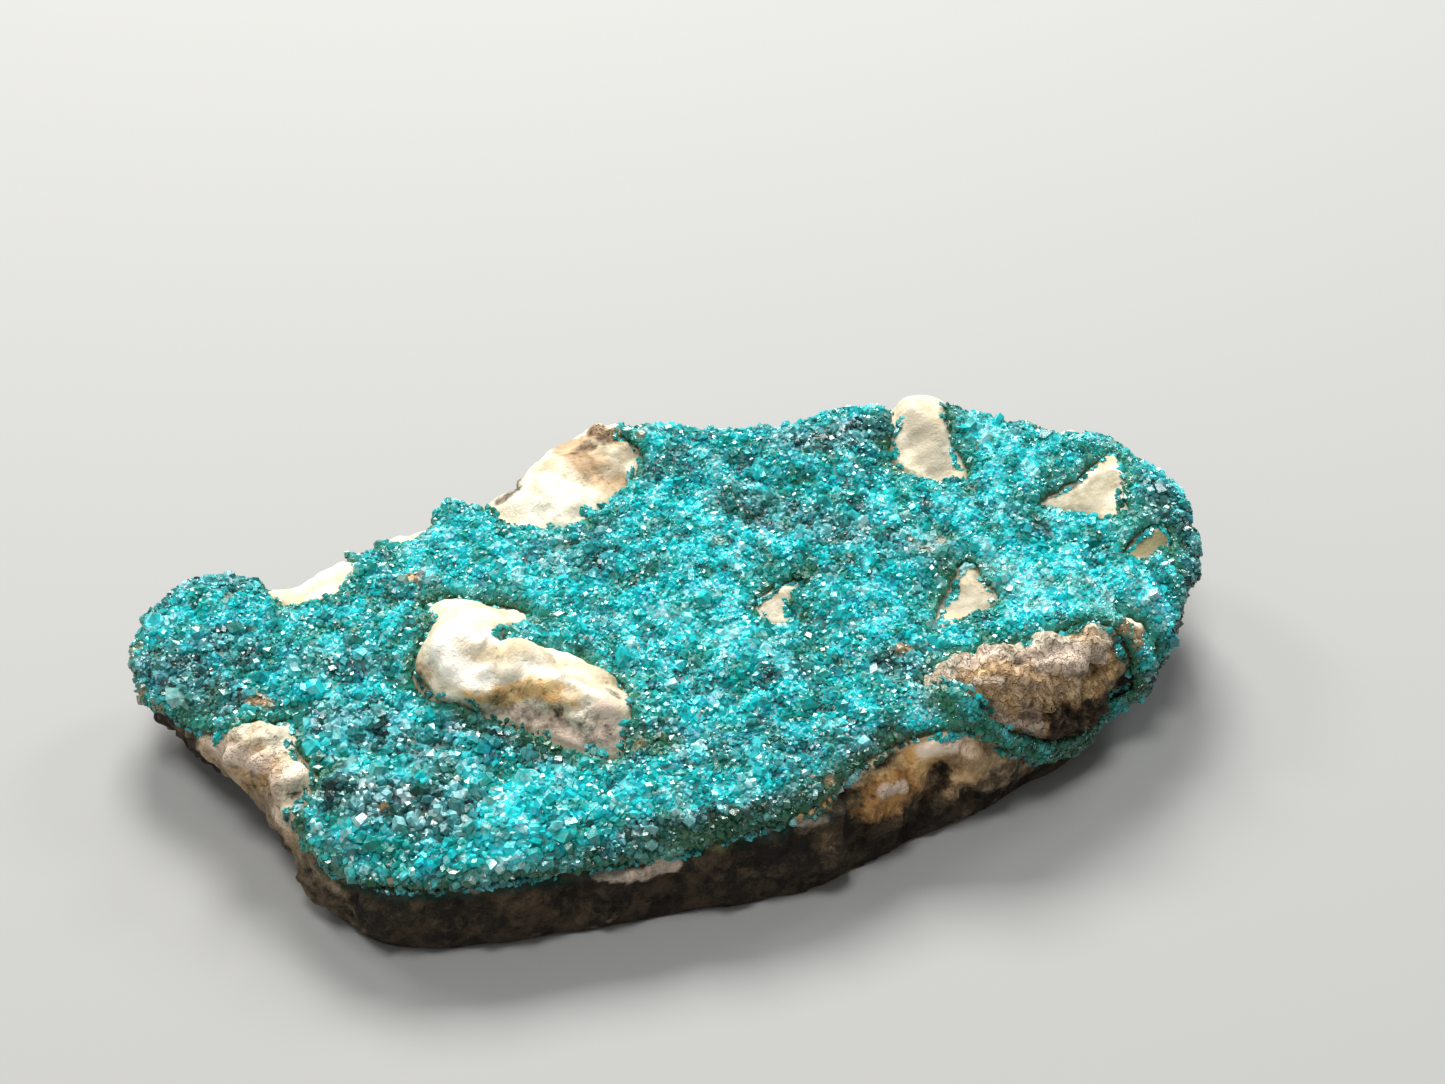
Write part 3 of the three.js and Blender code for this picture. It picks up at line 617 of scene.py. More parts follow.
class Finish:
    """Builds a material by short calls: noises, stored numbers and mixes, all ending in one shader."""

    def __init__(self, name):
        self.material = bpy.data.materials.new(name)
        self.material.use_nodes = True
        self.nodes = self.material.node_tree.nodes
        self.links = self.material.node_tree.links
        self.shader = self.nodes["Principled BSDF"]
        self.output = self.nodes["Material Output"]
        self.place = self.nodes.new("ShaderNodeTexCoord").outputs["Object"]

    def noise(self, size, detail=3.0, roughness=0.55):
        """Noise with spots of about that size in millimetres."""
        node = self.nodes.new("ShaderNodeTexNoise")
        node.inputs["Scale"].default_value = 1 / (size * MM)
        node.inputs["Detail"].default_value = detail
        node.inputs["Roughness"].default_value = roughness
        self.links.new(self.place, node.inputs["Vector"])
        return node.outputs["Fac"]

    def cells(self, size):
        """Voronoi cells of that size in millimetres: distance from the middle of each."""
        node = self.nodes.new("ShaderNodeTexVoronoi")
        node.inputs["Scale"].default_value = 1 / (size * MM)
        self.links.new(self.place, node.inputs["Vector"])
        return node.outputs["Distance"]

    def stored(self, name):
        """The number that the mesh keeps under this name."""
        node = self.nodes.new("ShaderNodeAttribute")
        node.attribute_name = name
        return node.outputs["Fac"]

    def between(self, value, low, high, start=0.0, end=1.0):
        """Maps low..high to start..end and holds it there."""
        node = self.nodes.new("ShaderNodeMapRange")
        node.interpolation_type = "SMOOTHSTEP"
        numbers = {"From Min": low, "From Max": high, "To Min": start, "To Max": end}
        for socket, number in numbers.items():
            node.inputs[socket].default_value = number
        self.links.new(value, node.inputs["Value"])
        return node.outputs["Result"]

    def math(self, operation, first, second):
        """One step of arithmetic on two values, each a number or a socket."""
        node = self.nodes.new("ShaderNodeMath")
        node.operation = operation
        for socket, value in zip(node.inputs, (first, second)):
            if isinstance(value, (int, float)):
                socket.default_value = value
            else:
                self.links.new(value, socket)
        return node.outputs["Value"]

    def times(self, first, second):
        """The product of two values."""
        return self.math("MULTIPLY", first, second)

    def mix(self, share, below, above):
        """Lays one colour over another. Each is a colour or a socket."""
        node = self.nodes.new("ShaderNodeMix")
        node.data_type = "RGBA"
        self.links.new(share, node.inputs["Factor"])
        for socket, colour in ((node.inputs[6], below), (node.inputs[7], above)):
            if isinstance(colour, tuple):
                socket.default_value = (*colour, 1)
            else:
                self.links.new(colour, socket)
        return node.outputs[2]

    def colours(self, value, stops):
        """A colour ramp from a list of (position, colour)."""
        node = self.nodes.new("ShaderNodeValToRGB")
        elements = node.color_ramp.elements
        for element, (position, colour) in zip(elements, (stops[0], stops[-1])):
            element.position = position
            element.color = (*colour, 1)
        for position, colour in stops[1:-1]:
            elements.new(position).color = (*colour, 1)
        self.links.new(value, node.inputs["Fac"])
        return node.outputs["Color"]

    def bump(self, height, depth, strength=1.0, below=None):
        """Fine relief of that depth in millimetres."""
        node = self.nodes.new("ShaderNodeBump")
        node.inputs["Strength"].default_value = strength
        node.inputs["Distance"].default_value = depth * MM
        self.links.new(height, node.inputs["Height"])
        if below is not None:
            self.links.new(below, node.inputs["Normal"])
        return node.outputs["Normal"]

    def set(self, **values):
        """Sets shader sockets by name, with _ for a space, to a number or another node's socket."""
        for name, value in values.items():
            socket = self.shader.inputs[name.replace("_", " ")]
            if isinstance(value, (int, float)):
                socket.default_value = value
            else:
                self.links.new(value, socket)


# %% [markdown]
# ## The stone's finish
#
# Carbonate rock is matt and slightly chalky, so the roughness is high and nothing in it is see-through.
# Its colour is built in three steps. The tones that soaked into the stone go over the cream first.
# Then come the marks of its rough ground: dust, dark hollows, grains and small pits. What lies on
# top goes last, which is the brown dirt with painted shade in it, the clean pale rock that broke free
# of it together with painted highlights, the white of the ridge that is partly painted light, and the
# green beside the crust, partly painted shade. The same grains and pits feed the bump, for the relief
# that is too small to carve.

# %% Stone finish
STAIN_GAIN = 1.3
FRAY_DEPTH = 0.45
STONE_ROUGHNESS = 0.86
STONE_SHINE = 0.3

stone = Finish("stained_carbonate")
fray = stone.noise(0.45, 4.0, 0.65)


def stain(below, name, colour, most):
    """Lays a stain where its stored number, frayed by the fine noise, is high enough."""
    frayed_off = stone.between(fray, 0.3, 0.7, FRAY_DEPTH, 0.0)
    left = stone.math("SUBTRACT", stone.times(stone.stored(name), STAIN_GAIN), frayed_off)
    return stone.mix(stone.between(left, 0.05, 0.95, 0.0, most), below, colour)


def two_tones(spots, low, high, light, dark):
    """A tone that wanders between two colours."""
    return stone.mix(stone.between(spots, low, high), linear(*light), linear(*dark))


cream = two_tones(stone.noise(1.6, 4.0, 0.6), 0.38, 0.66, (234, 224, 202), (204, 187, 154))
tan = two_tones(stone.noise(1.1), 0.4, 0.65, (208, 174, 134), (156, 122, 84))
ochre = two_tones(stone.noise(0.8), 0.4, 0.65, (238, 200, 140), (204, 156, 92))
brown = two_tones(stone.noise(1.3, 5.0, 0.75), 0.4, 0.56, (66, 54, 38), (7, 6, 4))
print("the four wandering tones take", len(stone.nodes), "nodes")

# %% Marks of the rough ground
rough = stone.stored("rough")
dust = stone.times(
    stone.between(stone.noise(0.3, 4.0, 0.7), 0.35, 0.7),
    stone.between(rough, 0, 1, 0.07, 0.3),
)
hollows = stone.times(
    stone.between(stone.noise(0.7, 5.0, 0.75), 0.46, 0.34),
    stone.between(rough, 0.6, 1.0, 0.0, 0.8),
)
grains = stone.times(
    stone.between(stone.noise(0.32, 3.0, 0.6), 0.56, 0.42),
    stone.between(rough, 0.35, 1.0),
)
pit_groups = stone.between(stone.noise(1.2), 0.42, 0.55)
pitted = stone.times(stone.between(stone.cells(0.5), 0.24, 0.1), pit_groups)
pitted = stone.times(pitted, stone.between(rough, 0.1, 0.9, 0.25, 1.0))
print("with the marks there are", len(stone.nodes), "nodes")

# %% Colour and bump of the stone
SOAKED_IN = [
    # stain, tone, how far it can cover
    ("tan", tan, 0.9),
    ("rose", linear(216, 194, 176), 0.9),
    ("ochre", ochre, 0.95),
    ("umber", linear(132, 118, 94), 0.9),
    ("drab", linear(184, 174, 154), 0.85),
    ("rust", linear(156, 108, 54), 0.9),
]
MARKS = [
    # where, tone
    (dust, linear(150, 132, 104)),
    (hollows, linear(92, 64, 36)),
    (stone.times(grains, 0.42), linear(122, 90, 58)),
    (stone.times(pitted, 0.6), linear(104, 76, 50)),
]
ON_TOP = [
    # stain, tone, how far it can cover
    ("brown", brown, 0.97),
    ("pale", linear(228, 208, 188), 0.9),
    ("white", linear(250, 244, 230), 0.95),
    ("green", linear(14, 58, 50), 0.85),
    ("olive", linear(118, 116, 78), 0.7),
]
tone = cream
for name, colour, most in SOAKED_IN:
    tone = stain(tone, name, colour, most)
for where, colour in MARKS:
    tone = stone.mix(where, tone, colour)
for name, colour, most in ON_TOP:
    tone = stain(tone, name, colour, most)

lumps = stone.times(stone.noise(0.5, 4.0, 0.65), stone.between(rough, 0, 1, 0.7, 1.6))
relief = stone.bump(lumps, 0.14, 0.9)
relief = stone.bump(stone.math("SUBTRACT", 1.0, pitted), 0.09, 0.9, relief)
relief = stone.bump(stone.math("SUBTRACT", 1.0, grains), 0.12, 0.9, relief)
relief = stone.bump(stone.noise(0.16, 5.0, 0.7), 0.05, 0.8, relief)
stone.set(Base_Color=tone, Roughness=STONE_ROUGHNESS, Specular_IOR_Level=STONE_SHINE, Normal=relief)
print("stone finish has", len(stone.nodes), "nodes")

# %% Stone piece
stone_mesh.materials.append(stone.material)
smooth_shaded(stone_mesh)
matrix_stone = bpy.data.objects.new("matrix_stone", stone_mesh)
show(matrix_stone)
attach(matrix_stone, "root")
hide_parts("matrix")
print("the stone has", len(stone_mesh.polygons), "faces")

# %% [markdown]
# ## The bed of the druse
#
# The crystals are grown together at their feet into one glassy crust. That bed is made from the loaded
# crust, remeshed and smoothed, and drawn in a little so that the crystal tips end where the solid's
# do. It fills every gap between the crystals, so the rock never shows through by accident.

# %% Bed
BED_VOXEL = 0.27
BED_SMOOTHING = 4
BED_SHRINK = 0.1
CLUMP_SIZE = 1.1
CLUMP_RELIEF = 0.26


def clumps(places):
    """0 in the dips and 1 on the crests between which the druse rises and falls."""
    return ramp(waviness(places, CLUMP_SIZE, 21, 3), -0.7, 0.7)


bed_mesh = even_net(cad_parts["dioptase_crust"], "druse_bed", BED_VOXEL, BED_SMOOTHING)
bed_places, bed_normals = vertex_places(bed_mesh)
bed_outside = ramp(distance_to(smooth_stone_tree, bed_places), 0.2, 0.7)
drawn_in = BED_SHRINK + CLUMP_RELIEF * (1 - clumps(bed_places))
bed_places -= bed_normals * (drawn_in * bed_outside)[:, None]
set_places(bed_mesh, bed_places)
smooth_shaded(bed_mesh)
druse_bed = bpy.data.objects.new("druse_bed", bed_mesh)
show(druse_bed)
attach(druse_bed, "root")
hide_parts("dioptase_crust")
print("bed:", len(bed_mesh.polygons), "quads")

# %% [markdown]
# ## Where the crystals stand
#
# Random points are thrown on the outer side of the bed. Each in turn keeps the ground round its foot
# clear, and a point that falls on cleared ground is dropped, which is how crystals crowd each other
# out. Wide crystals clear more ground than narrow ones. They are coarser at the near left end. A last
# scatter fills a ragged strip of bare rock beside the crust, so that the crust frays out instead of
# ending in a line, and makes two small groups further out.

# %% Throwing and thinning
chance = np.random.default_rng(11)


def thrown_on(mesh, count, wanted=None):
    """Random points on a mesh, or on its wanted vertices, in millimetres, with the normals there."""
    mesh.calc_loop_triangles()
    triangles = np.empty(len(mesh.loop_triangles) * 3, np.int32)
    mesh.loop_triangles.foreach_get("vertices", triangles)
    triangles = triangles.reshape(-1, 3)
    if wanted is not None:
        triangles = triangles[wanted[triangles].all(axis=1)]
    at, facing = vertex_places(mesh)
    a, b, c = (at[triangles[:, k]] for k in range(3))
    area = np.linalg.norm(np.cross(b - a, c - a), axis=1) / 2
    pick = chance.choice(len(triangles), count, p=area / area.sum())
    u, v = chance.random(count), chance.random(count)
    flip = u + v > 1
    u[flip], v[flip] = 1 - u[flip], 1 - v[flip]
    points = a[pick] + u[:, None] * (b - a)[pick] + v[:, None] * (c - a)[pick]
    na, nb, nc = (facing[triangles[pick, k]] for k in range(3))
    mean = (1 - u - v)[:, None] * na + u[:, None] * nb + v[:, None] * nc
    return points, mean / np.linalg.norm(mean, axis=1)[:, None]


def thinned(points, gaps):
    """Indices of the points that stay when each, in turn, keeps its gap clear."""
    tree = KDTree(len(points))
    for i, p in enumerate(points):
        tree.insert(p, i)
    tree.balance()
    open_ground = np.ones(len(points), bool)
    kept = []
    for i, p in enumerate(points):
        if open_ground[i]:
            kept.append(i)
            for _, j, _ in tree.find_range(p, gaps[i]):
                open_ground[j] = False
    return np.array(kept)


# %% Crystals on the bed
CANDIDATES = 220000
MEAN_WIDTH = 0.21
WIDTH_SPREAD = 0.36
COARSER_END = 0.4
CROWDING = 0.43
LEAST_CRUST = 0.04
UNDER_STONE = 0.12

sites, site_normals = thrown_on(bed_mesh, CANDIDATES)
outer = nothing_above(smooth_stone_tree, sites, site_normals, UNDER_STONE)
from_stone = distance_to(smooth_stone_tree, sites)
outer &= from_stone > LEAST_CRUST
sites, site_normals, from_stone = sites[outer], site_normals[outer], from_stone[outer]
near_left = ramp(-sites[:, 0] - 0.6 * sites[:, 1], 6, 18) * ramp(-sites[:, 1], -2, 6)
spread = np.exp(chance.normal(0, WIDTH_SPREAD, len(sites)))
widths = MEAN_WIDTH * (1 + COARSER_END * near_left) * spread
kept = thinned(sites, widths * CROWDING)
sites, site_normals, from_stone, widths = (a[kept] for a in (sites, site_normals, from_stone, widths))
print(len(sites), "crystals on the bed, mean width", round(float(widths.mean()), 2))

# %% Crystals beside the crust
FRAY_CANDIDATES = 130000
FRAY_LEAST = 0.18
FRAY_REACH = 0.36
FRAY_WIDTHS = (0.18, 0.36)
FRAY_CROWDING = 0.32
FARTHEST_OUT = 2.6
LOWEST = 1
UNDER_CRUST = 0.17
GROUP_REACH = 2.5
SMALL_GROUPS = [
    # frame x, frame y, radius in mm, strength
    (586, 512, 0.4, 1), (432, 700, 0.45, 1),
]

places, normals = vertex_places(stone_mesh)
beside = (distance_to(crust_tree, places) < FARTHEST_OUT) & (places[:, 2] > LOWEST)
beside[beside] = nothing_above(crust_tree, places[beside], normals[beside], UNDER_CRUST)
fray_sites, fray_normals = thrown_on(stone_mesh, FRAY_CANDIDATES, beside)
fray_gap = distance_to(crust_tree, fray_sites)
ragged = FRAY_LEAST + FRAY_REACH * ramp(waviness(fray_sites, 1.1, 12, 2), 0.0, 0.9)
grouped = nearness(fray_sites, SMALL_GROUPS, stone_tree)
wanted = fray_gap < ragged + GROUP_REACH * ramp(grouped, 0.2, 0.8)
fray_sites, fray_normals, fray_gap, grouped = (
    a[wanted] for a in (fray_sites, fray_normals, fray_gap, grouped)
)
narrowing = 1 - 0.45 * ramp(fray_gap, 0.15, 0.6) * (1 - grouped)
fray_widths = chance.uniform(*FRAY_WIDTHS, len(fray_sites)) * narrowing
kept = thinned(fray_sites, fray_widths * FRAY_CROWDING)
sites = np.vstack([sites, fray_sites[kept]])
site_normals = np.vstack([site_normals, fray_normals[kept]])
widths = np.concatenate([widths, fray_widths[kept]])
from_stone = np.concatenate([from_stone, 0.55 + 0.4 * grouped[kept]])
print(len(kept), "crystals on bare rock beside the crust")

# %% [markdown]
# ## Two crystal forms, many times
#
# Dioptase grows as short six-sided prisms that end in three sloping faces. The small crystals between
# them are almost all end faces, like a cube stood on its corner. Each form is worked out once, and then
# placed at its sites by array arithmetic: scaled, leaned away from the surface normal, turned at random
# and made a little uneven, as crowded crystals are. Joined meshes are used instead of instances, because
# they stay real geometry wherever the model goes.

# %% Crystal forms
angles = np.radians(60 * np.arange(6))
ring = np.column_stack([np.cos(angles), np.sin(angles)])
centre = np.zeros((1, 2))
ring_drop = [0.5, 1.0] * 3
end_faces = [[6, 2 * k, 2 * k + 1, (2 * k + 2) % 6] for k in range(3)]
under_faces = [[7, 2 * k + 1, 2 * k, (2 * k + 5) % 6] for k in range(3)]
side_faces = [[7 + k, 7 + (k + 1) % 6, (k + 1) % 6, k] for k in range(6)]
foot_face = [[12, 11, 10, 9, 8, 7]]
# Each form: where its corners lie across the axis, how far below the tip they are, which of them
# are the foot, and the faces.
SMALL_FORM = (
    np.vstack([ring, centre, centre]),
    ring_drop + [0, 1.5],
    [False] * 8,
    end_faces + under_faces,
)
PRISM_FORM = (
    np.vstack([ring, centre, ring]),
    ring_drop + [0] * 7,
    [False] * 7 + [True] * 6,
    end_faces + side_faces + foot_face,
)


def triangle_count(form):
    """How many triangles one crystal of the form has."""
    return sum(len(face) - 2 for face in form[3])


for label, form in (("small", SMALL_FORM), ("prism", PRISM_FORM)):
    print("one", label, "crystal:", len(form[0]), "corners,", triangle_count(form), "triangles")

# %% Place the crystals
LEAN = 0.45
LEAST_UPRIGHT = 0.25
NARROWER_SIDE = (0.65, 1.0)
END_SLOPES = (0.6, 1.2)
SUNK = 0.26
STANDS_OUT = (0.1, 0.75)
UNEVENNESS = 0.09
PRISMS_FROM = 0.3


def unit(vectors):
    """The vectors at length one."""
    return vectors / np.linalg.norm(vectors, axis=1)[:, None]


def crystal_corners(form, at, normals, widths, heights):
    """Corner positions of all crystals of one form."""
    across, drop, is_foot, _ = form
    axis = unit(normals + chance.normal(0, LEAN, normals.shape))
    too_flat = (axis * normals).sum(1)[:, None] < LEAST_UPRIGHT
    axis = np.where(too_flat, unit(axis + normals), axis)
    side_a = unit(np.cross(axis, chance.normal(0, 1, axis.shape)))
    side_b = np.cross(axis, side_a)
    radius = widths / 2
    x = across[:, 0] * radius[:, None]
    y = across[:, 1] * (radius * chance.uniform(*NARROWER_SIDE, len(at)))[:, None]
    slope = chance.uniform(*END_SLOPES, len(at))
    z = np.where(is_foot, -SUNK, heights[:, None] - np.array(drop) * (slope * radius)[:, None])
    corners = at[:, None] + x[..., None] * side_a[:, None]
    corners = corners + y[..., None] * side_b[:, None] + z[..., None] * axis[:, None]
    return corners + chance.normal(0, UNEVENNESS, corners.shape) * radius[:, None, None]


# The crystals are shorter where the crust is thin.
crust_share = 0.5 + 0.5 * ramp(from_stone, 0.2, 0.7)
heights = widths * chance.uniform(*STANDS_OUT, len(sites)) * crust_share
prism_count = int((widths > PRISMS_FROM).sum())
print(prism_count, "prisms, tallest stands out", round(float(heights.max()), 2), "mm")

# %% [markdown]
# ## Which crystals are dark and which are bright
#
# A druse is never one even colour. Where crystals are clean and the pale rock shines through them they
# are bright blue-green, and where they are thick they go almost black. Each crystal gets a tint
# number: a slow drift over the stone, with a rise on the crests and a drop in the dips and on steep
# faces that are painted light and shade, and darker spots, of which those along the crust's lower
# front edge and under the lump are painted shade; plus a jump of its own, bright in a few crystals as
# painted glints. Three more numbers say how smoky grey it is, how mossy green, and whether it holds
# grains of rusty rock.

# %% Places on the druse
DARK_DRIFTS = strokes([
    # path of frame points, radius in mm, how much darker
    ([(160, 665), (200, 690), (235, 705)], 1.5, 0.24),
    ([(145, 590), (190, 582), (240, 580)], 0.9, 0.16), ([(210, 635), (250, 650)], 1.3, 0.14),
    ([(320, 715), (380, 735), (440, 750)], 1.3, 0.18),
    ([(400, 735), (438, 760), (450, 800)], 1.1, 0.2),
    ([(335, 785), (380, 800), (430, 815)], 1.5, 0.32), ([(440, 830), (470, 800)], 0.9, 0.25),
    ([(330, 845), (350, 855)], 0.6, 0.2), ([(300, 660), (370, 665)], 1.2, 0.12),
    ([(450, 722), (500, 735), (560, 760)], 0.8, 0.22), ([(640, 745), (670, 735)], 1.1, 0.16),
    ([(730, 500), (790, 520), (850, 535)], 1.5, 0.17),
    ([(790, 440), (850, 436), (880, 425)], 1.3, 0.24), ([(640, 470), (700, 455)], 1.2, 0.1),
    ([(890, 545), (950, 560)], 1.2, 0.14), ([(540, 555), (600, 560)], 1.2, 0.14),
    ([(890, 660), (930, 675), (930, 700)], 1.2, 0.2),
    ([(1175, 650), (1198, 610), (1195, 560)], 1.5, 0.26), ([(1150, 480), (1180, 520)], 1.1, 0.16),
    ([(1000, 510), (1040, 520)], 1.0, 0.12), ([(600, 620), (640, 640)], 0.9, 0.08),
    ([(760, 650), (800, 670)], 1.0, 0.1), ([(700, 745), (780, 755), (850, 740)], 1.3, 0.1),
    # Painted shade: the two strokes below the lump and at the lower right on the next line, and the
    # strokes along the crust's lower front edge further down.
    ([(1060, 755), (1085, 740)], 1.3, 0.26), ([(1140, 690), (1165, 670)], 1.2, 0.24),
    ([(590, 540), (620, 520)], 1.0, 0.1), ([(400, 600), (430, 590)], 0.9, 0.1),
    ([(330, 872), (390, 888), (480, 882), (560, 866), (640, 845), (720, 830)], 0.7, 0.2),
    ([(640, 838), (720, 826), (800, 808), (860, 790), (905, 768)], 1.1, 0.36),
    ([(280, 740), (300, 790), (290, 830)], 0.8, 0.14),
])
BRIGHT_DRIFTS = strokes([
    # path of frame points, radius in mm, how much brighter
    ([(560, 610), (650, 625), (750, 640)], 1.7, 0.16), ([(690, 590), (740, 600)], 1.4, 0.12),
    ([(860, 640), (880, 620)], 1.2, 0.12),
    ([(980, 570), (1040, 590), (1110, 610), (1150, 600)], 1.8, 0.32),
    ([(985, 440), (1030, 455), (1060, 475)], 1.5, 0.2), ([(880, 590), (930, 600)], 1.1, 0.1),
    ([(1080, 440), (1130, 460)], 1.1, 0.12), ([(1120, 520), (1150, 540)], 1.0, 0.12),
    ([(500, 800), (560, 805), (640, 800), (740, 790)], 1.3, 0.16),
    ([(425, 540), (480, 550)], 1.3, 0.14), ([(640, 500), (700, 520)], 1.0, 0.1),
    ([(315, 840), (360, 865), (420, 870)], 1.0, 0.14), ([(350, 765), (390, 755)], 0.9, 0.12),
    ([(190, 620), (230, 612)], 1.0, 0.08), ([(920, 705), (950, 712)], 1.0, 0.16),
    ([(230, 690), (260, 675)], 0.9, 0.1), ([(400, 570), (440, 575)], 0.9, 0.08),
    ([(560, 780), (590, 790)], 0.9, 0.1), ([(820, 600), (850, 610)], 0.9, 0.08),
])
RUSTY_SPOTS = [
    # frame x, frame y, radius in mm, how rusty
    (905, 650, 0.5, 1), (1137, 637, 0.6, 1), (1126, 626, 0.5, 1), (260, 704, 0.7, 1),
    (412, 577, 0.6, 1), (228, 598, 0.4, 0.7), (716, 540, 0.5, 0.5), (830, 780, 0.3, 0.8),
    (985, 676, 0.4, 0.7), (640, 745, 0.35, 0.6), (940, 540, 0.4, 0.6), (925, 550, 0.4, 0.5),
    (912, 538, 0.3, 0.5), (120, 652, 0.45, 0.8), (119, 634, 0.4, 0.7), (128, 672, 0.4, 0.7),
    (142, 694, 0.4, 0.8), (158, 708, 0.4, 0.6),
]
MOSSY_SPOTS = strokes([
    # path of frame points, radius in mm, how mossy
    ([(640, 742), (664, 748), (672, 742)], 0.8, 1.0),
    ([(424, 604), (470, 598), (500, 598), (545, 622)], 0.75, 0.8), ([(589, 459)], 0.6, 0.7),
    ([(170, 700), (215, 722), (270, 735)], 0.9, 0.5),
    ([(480, 708), (520, 728), (580, 755)], 0.5, 0.6),
    # The next two strokes run along the crust's lower front edge, a darker green that is partly painted
    # shade.
    ([(905, 765), (860, 790), (800, 806), (720, 828), (640, 845)], 0.8, 0.6),
    ([(560, 866), (480, 882), (390, 888), (330, 872)], 0.6, 0.5),
])
PAINTED_FLASHES = [
    # frame x, frame y of single crystals painted near white as painted highlights
    (318, 830), (456, 730), (704, 746), (678, 752), (600, 734), (860, 654), (726, 656), (472, 712),
    (865, 526), (1040, 603), (1030, 596), (842, 424), (938, 544), (343, 768), (405, 800),
    (925, 535), (932, 548), (948, 538), (915, 548), (905, 530),
]
print(len(DARK_DRIFTS), "dark spots,", len(BRIGHT_DRIFTS), "bright ones and", len(PAINTED_FLASHES), "flashes")

# %% Tints
MIDDLE_TINT = 0.42
STEEP_SHADE = 0.2
OWN_JUMP = 0.1
PAINTED_GLINT_SHARE = 0.03
PAINTED_GLINT_JUMP = 0.34
RUSTY_ONES = 0.002
FLASH_RADIUS = 0.35
FLASH_WIDTH = 0.22
PAINTED_FLASH_TINT = 0.98
bed_tree = search_tree(bed_mesh)


def drift(places, normals):
    """The slow tint over the druse before each crystal's jump: painted light on crests, shade in dips and
    on steep faces.
    """
    slow = MIDDLE_TINT + 0.28 * clumps(places)
    slow = slow + 0.12 * waviness(places, 3.0, 6, 2) + 0.38 * waviness(places, 0.75, 7, 2)
    slow -= STEEP_SHADE * (1 - ramp(normals[:, 2], 0.1, 0.7))
    return slow + nearness(places, BRIGHT_DRIFTS, bed_tree) - nearness(places, DARK_DRIFTS, bed_tree)


darkness = 3 * nearness(sites, DARK_DRIFTS, bed_tree)
brightness = 3 * nearness(sites, BRIGHT_DRIFTS, bed_tree)
own = chance.normal(0, OWN_JUMP, len(sites)) * (1 + 1.5 * darkness)
# Painted glints: a few crystals, more of them in the dark spots, jump brighter.
own = own + PAINTED_GLINT_JUMP * (chance.random(len(sites)) < PAINTED_GLINT_SHARE + 0.08 * darkness)
tint = np.clip(drift(sites, site_normals) + own, 0.02, 0.98)
# Painted highlights: the wide crystals at these points get a near-white tint.
for x, y in PAINTED_FLASHES:
    away = np.linalg.norm(sites - seen_on(bed_tree, x, y), axis=1)
    tint[(away < FLASH_RADIUS) & (widths > FLASH_WIDTH)] = PAINTED_FLASH_TINT
smoky = 1.1 * darkness + 0.65 * ramp(waviness(sites, 1.0, 31, 2), 0.15, 0.8) - 0.6 * brightness
here_and_there = (chance.random(len(sites)) < RUSTY_ONES) * 0.7
rusty = np.maximum(nearness(sites, RUSTY_SPOTS, bed_tree), here_and_there)
mossy = np.maximum(1 - ramp(from_stone, 0.25, 0.75), nearness(sites, MOSSY_SPOTS, bed_tree))
print("mean tint", round(float(tint.mean()), 2), "rusty crystals", int((rusty > 0.5).sum()))

# %% [markdown]
# ## The crystals' finish
#
# Dioptase is a hard, glassy mineral with a high refractive index, which gives the sharp white flashes.
# Light goes into a crystal, is coloured on the way and comes back from the bed, so part of it is let
# through by plain transmission. An absorption volume deepens the colour with thickness. The tint
# number picks a blue-green from a ramp. Broad noises then pull it a little to green or to blue, a
# second ramp of greys makes the smoky ones, and moss and rust go on last.

# %% Crystal finish
DIOPTASE_IOR = 1.67
CRYSTAL_ROUGHNESS = 0.13
CRYSTAL_TRANSMISSION = 0.18
BED_ROUGHNESS = 0.6
ABSORPTION_PER_METRE = 1500
BLUE_GREENS = [
    (0.02, linear(12, 52, 52)),
    (0.2, linear(8, 112, 110)),
    (0.42, linear(4, 172, 173)),
    (0.62, linear(6, 220, 226)),
    (0.82, linear(46, 235, 241)),
    (0.98, linear(190, 244, 246)),
]
SMOKY_GREYS = [
    (0.02, linear(16, 32, 34)),
    (0.42, linear(76, 108, 110)),
    (0.72, linear(156, 186, 190)),
    (0.98, linear(228, 240, 242)),
]


def dioptase(name, roughness, transmission):
    """The glassy blue-green of the crystals."""
    finish = Finish(name)
    wander = finish.times(finish.math("SUBTRACT", finish.noise(0.2, 3.0, 0.65), 0.5), 0.9)
    shade = finish.math("ADD", finish.stored("tint"), wander)
    colour = finish.colours(shade, BLUE_GREENS)
    greener = finish.between(finish.noise(1.2, 3.0, 0.6), 0.44, 0.62, 0.0, 0.6)
    colour = finish.mix(greener, colour, linear(10, 124, 94))
    bluer = finish.between(finish.noise(0.7, 3.0, 0.6), 0.5, 0.68, 0.0, 0.42)
    colour = finish.mix(bluer, colour, linear(22, 182, 214))
    greyer = finish.times(finish.stored("smoky"), 0.62)
    colour = finish.mix(greyer, colour, finish.colours(shade, SMOKY_GREYS))
    colour = finish.mix(finish.times(finish.stored("mossy"), 0.72), colour, linear(48, 104, 58))
    colour = finish.mix(finish.stored("rusty"), colour, linear(178, 146, 104))
    uneven = finish.bump(finish.noise(0.15, 4.0, 0.7), 0.02, 0.8)
    finish.set(Base_Color=colour, Roughness=roughness, IOR=DIOPTASE_IOR, Normal=uneven)
    finish.set(Transmission_Weight=transmission)
    return finish


